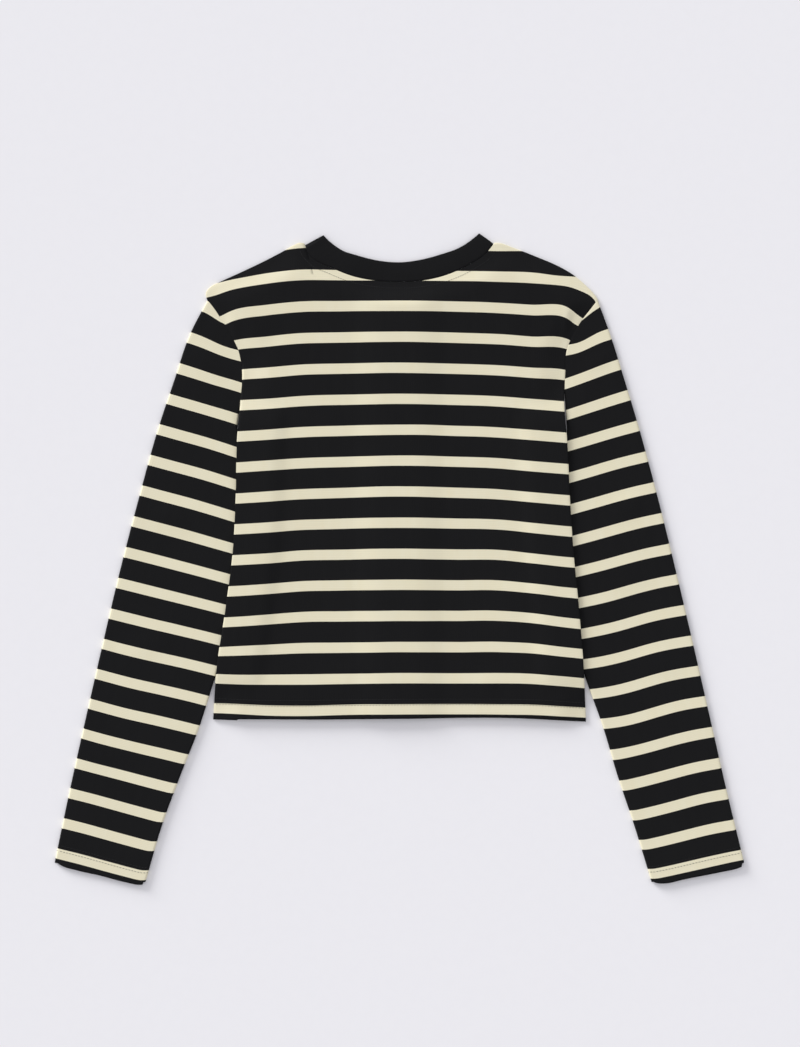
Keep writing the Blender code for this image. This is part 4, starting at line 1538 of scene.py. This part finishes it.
@dataclass
class Buttons:
    """Six plain four-hole buttons under the right band, with their thread and buttonholes."""

    form: LaidForm
    count: int = 6
    diameter: float = 15.0
    hole: float = 1.7
    hole_spacing: float = 3.1
    lowest: float = 22.0
    highest: float = 32.0
    # The turned profile: in from the edge and up from the face, round the raised rim to the back.
    hollow: float = 0.55
    profile: tuple[Pair, ...] = (
        (2.4, 0.55), (1.9, 0.43), (1.45, 0.14), (0.95, 0.0), (0.5, 0.05),
        (0.12, 0.3), (0.0, 0.75), (0.1, 1.3), (0.9, 1.84), (2.0, 2.0),
    )
    turning_steps: int = 48
    crisp: float = 38.0  # edges sharper than this many degrees stay crisp
    thread_radius: float = 0.16
    strands: tuple[float, ...] = (-0.28, 0.0, 0.28)
    shank_radius: float = 0.3
    hole_margin: float = 1.4  # how much longer than the button a buttonhole is at each end
    hole_aside: float = 0.85

    def disc(self) -> bpy.types.Mesh:
        """The button's mesh: turned from a profile and drilled.

        Returns:
            The mesh, round the origin and with its face down.
        """
        outer = 0.5 * self.diameter
        turned = [(outer - inset, z) for inset, z in self.profile]
        turned = [(0.0, self.hollow), *turned, (0.0, self.form.button_thickness)]
        shape = bmesh.new()
        points = [shape.verts.new((x * MM, 0.0, z * MM)) for x, z in turned]
        edges = [shape.edges.new(pair) for pair in zip(points, points[1:])]
        bmesh.ops.spin(
            shape, geom=points + edges, axis=(0, 0, 1), cent=(0, 0, 0), steps=self.turning_steps,
            angle=2 * math.pi,
        )
        bmesh.ops.remove_doubles(shape, verts=shape.verts[:], dist=WELD)
        bmesh.ops.recalc_face_normals(shape, faces=shape.faces[:])
        blank = add_object(finished(shape, "button_blank"))
        cutters = bmesh.new()
        for x, y in ((-0.5, -0.5), (-0.5, 0.5), (0.5, -0.5), (0.5, 0.5)):
            place = Vector((x * self.hole_spacing, y * self.hole_spacing, 1.0)) * MM
            bmesh.ops.create_cone(
                cutters, cap_ends=True, segments=16, depth=6 * MM, radius1=0.5 * self.hole * MM,
                radius2=0.5 * self.hole * MM, matrix=Matrix.Translation(place),
            )
        drill = add_object(finished(cutters, "button_drill"))
        cut = blank.modifiers.new("holes", "BOOLEAN")
        cut.operation, cut.solver, cut.object = "DIFFERENCE", "EXACT", drill
        bpy.context.view_layer.update()
        done = bpy.data.meshes.new_from_object(blank.evaluated_get(bpy.context.evaluated_depsgraph_get()))
        for used in (blank, drill):
            bpy.data.objects.remove(used, do_unlink=True)
        done.shade_smooth()
        done.set_sharp_from_angle(angle=math.radians(self.crisp))
        return done

    def build(self, finishes: Finishes) -> None:
        """Make the buttons, the thread in their holes and the buttonholes.

        Args:
            finishes: the garment's materials.
        """
        mesh = self.disc()
        low = float(self.form.hem_at(0.0)) + self.lowest
        heights = np.linspace(low, self.form.band_top - self.highest, self.count)
        for number, height in enumerate(heights, start=1):
            copy = mesh.copy()
            copy.name = f"button_{number}_disc"
            disc = add_object(copy)
            disc.location = (0.0, height * MM, 0.0)
            dress(disc, finishes.resin, f"button_{number}")
            self.thread(number, height, finishes)
            self.buttonhole(number, height, finishes)

    def thread(self, number: int, height: float, finishes: Finishes) -> None:
        """Two bars of thread across the holes, and the shank up to the left band.

        Args:
            number: of the button.
            height: its place up the front.
            finishes: the garment's materials.
        """
        reach, shape = 0.5 * self.hole_spacing, bmesh.new()
        bar = ((-reach, 1.2), (-reach, 0.52), (0.0, 0.34), (reach, 0.52), (reach, 1.2))
        for x in (-reach, reach):
            for strand in self.strands:
                self.strand(shape, [(x + strand, height + y, z) for y, z in bar], self.thread_radius)
        shank = ((2.2, 1.9), (1.0, 2.6), (1.0, self.form.left_band_bottom + 0.1))
        for angle in (turn * math.pi / 3.0 for turn in range(6)):
            x, y = 0.55 * math.cos(angle), 0.55 * math.sin(angle)
            self.strand(shape, [(out * x, height + out * y, z) for out, z in shank], self.shank_radius)
        dress(add_object(finished(shape, f"button_{number}_thread")), finishes.thread)

    @staticmethod
    def strand(shape: bmesh.types.BMesh, route: Rows, radius: float) -> None:
        """Add a six-sided strand to a loose shape.

        Args:
            shape: the shape.
            route: points along the strand.
            radius: of the strand.
        """
        line = np.array(route, float)
        rings = []
        for place, direction in zip(line, np.gradient(line, axis=0)):
            forward = Vector(direction).normalized()
            aside = forward.cross(Vector((1.0, 0.0, 0.01))).normalized()
            up = forward.cross(aside)
            turns = [turn * math.pi / 3.0 for turn in range(6)]
            spots = [Vector(place) + (aside * math.cos(t) + up * math.sin(t)) * radius for t in turns]
            rings.append([shape.verts.new(spot * MM) for spot in spots])
        for low, high in zip(rings, rings[1:]):
            for side in range(6):
                shape.faces.new((low[side], low[side - 1], high[side - 1], high[side]))
        shape.faces.new(rings[0])
        shape.faces.new(rings[-1][::-1])

    def buttonhole(self, number: int, height: float, finishes: Finishes) -> None:
        """A buttonhole's close stitches round its slit, on the right band's outer side.

        Args:
            number: of the button.
            height: its place up the front.
            finishes: the garment's materials.
        """
        half, aside = 0.5 * self.diameter + self.hole_margin, self.hole_aside
        turns = np.linspace(0.2, math.pi - 0.2, 8)
        route = [(aside, y) for y in np.linspace(-half, half, 60)]
        route += [(aside * math.cos(turn), half + aside * math.sin(turn)) for turn in turns]
        route = np.array([*route, *((-x, -y) for x, y in route), route[0]])
        level = np.full(len(route), self.form.right_band_bottom)
        path = np.column_stack([route[:, 0], route[:, 1] + height, level])
        normals = np.tile((0.0, 0.0, -1.0), (len(path), 1))
        row = StitchRow(pitch=0.55, length=0.5, thickness=0.75, stations=3)
        row.make(f"buttonhole_{number}", path, normals, finishes.thread)


# ---- Studio ----


@dataclass
class Studio:
    """Paper floor, soft light from the upper left, and the camera straight above."""

    floor_size: float = 6.0
    camera_height: float = 2.575
    camera_place: Pair = (0.0007, 0.0380)
    lens: float = 85.0
    key_strength: float = 3.6
    key_angle: float = 22.0  # softness of the key light, in degrees
    key_elevation: float = 14.0
    key_azimuth: float = 134.0  # where the light comes from, counter-clockwise from +X
    sky_strength: float = 0.784
    sky_colour: str = "#F1F1F6"

    def build(self) -> None:
        """Make the floor, the lights and the camera."""
        scene = bpy.context.scene
        scene.view_settings.view_transform = "Standard"
        shape = bmesh.new()
        bmesh.ops.create_grid(shape, x_segments=24, y_segments=24, size=0.5 * self.floor_size)
        floor = add_object(finished(shape, "floor"))
        floor.data.materials.append(PaperSweep().make())
        self.lights()
        camera = self.placed("camera", bpy.data.cameras.new("camera"))
        camera.data.lens = self.lens
        camera.location = (*self.camera_place, self.camera_height)
        scene.camera = camera

    @staticmethod
    def placed(name: str, data: bpy.types.ID) -> bpy.types.Object:
        """Put a camera or a lamp into the scene.

        Args:
            name: of the new object.
            data: the camera or the light.

        Returns:
            The object.
        """
        made = bpy.data.objects.new(name, data)
        bpy.context.scene.collection.objects.link(made)
        return made

    def lights(self) -> None:
        """A soft key light low on the upper left, and an even sky."""
        lamp = self.placed("key", bpy.data.lights.new("key", "SUN"))
        lamp.data.energy = self.key_strength
        lamp.data.angle = math.radians(self.key_angle)
        azimuth, elevation = math.radians(self.key_azimuth), math.radians(self.key_elevation)
        flat = math.cos(elevation)
        source = Vector((math.cos(azimuth) * flat, math.sin(azimuth) * flat, math.sin(elevation)))
        lamp.rotation_mode = "QUATERNION"
        lamp.rotation_quaternion = source.to_track_quat("Z", "Y")
        world = bpy.data.worlds.new("studio")
        world.use_nodes = True
        wire(world.node_tree.nodes["Background"], (linear(self.sky_colour), self.sky_strength))
        bpy.context.scene.world = world


def main() -> None:
    """Build the studio and the garment."""
    logging.basicConfig(level=logging.INFO, format="%(name)s: %(message)s")
    Studio().build()
    finishes = Finishes()
    form = LaidForm()
    pieces = [FrontPanel(form, side) for side in Side]
    pieces += [SleeveTube(form, side) for side in Side]
    pieces += [Buttons(form)]
    pieces += [ButtonBand(form, side) for side in (Side.RIGHT, Side.LEFT)]
    pieces += [Neckband(form), BackPanel(form)]
    for piece in pieces:
        piece.build(finishes)


if __name__ == "__main__":
    main()
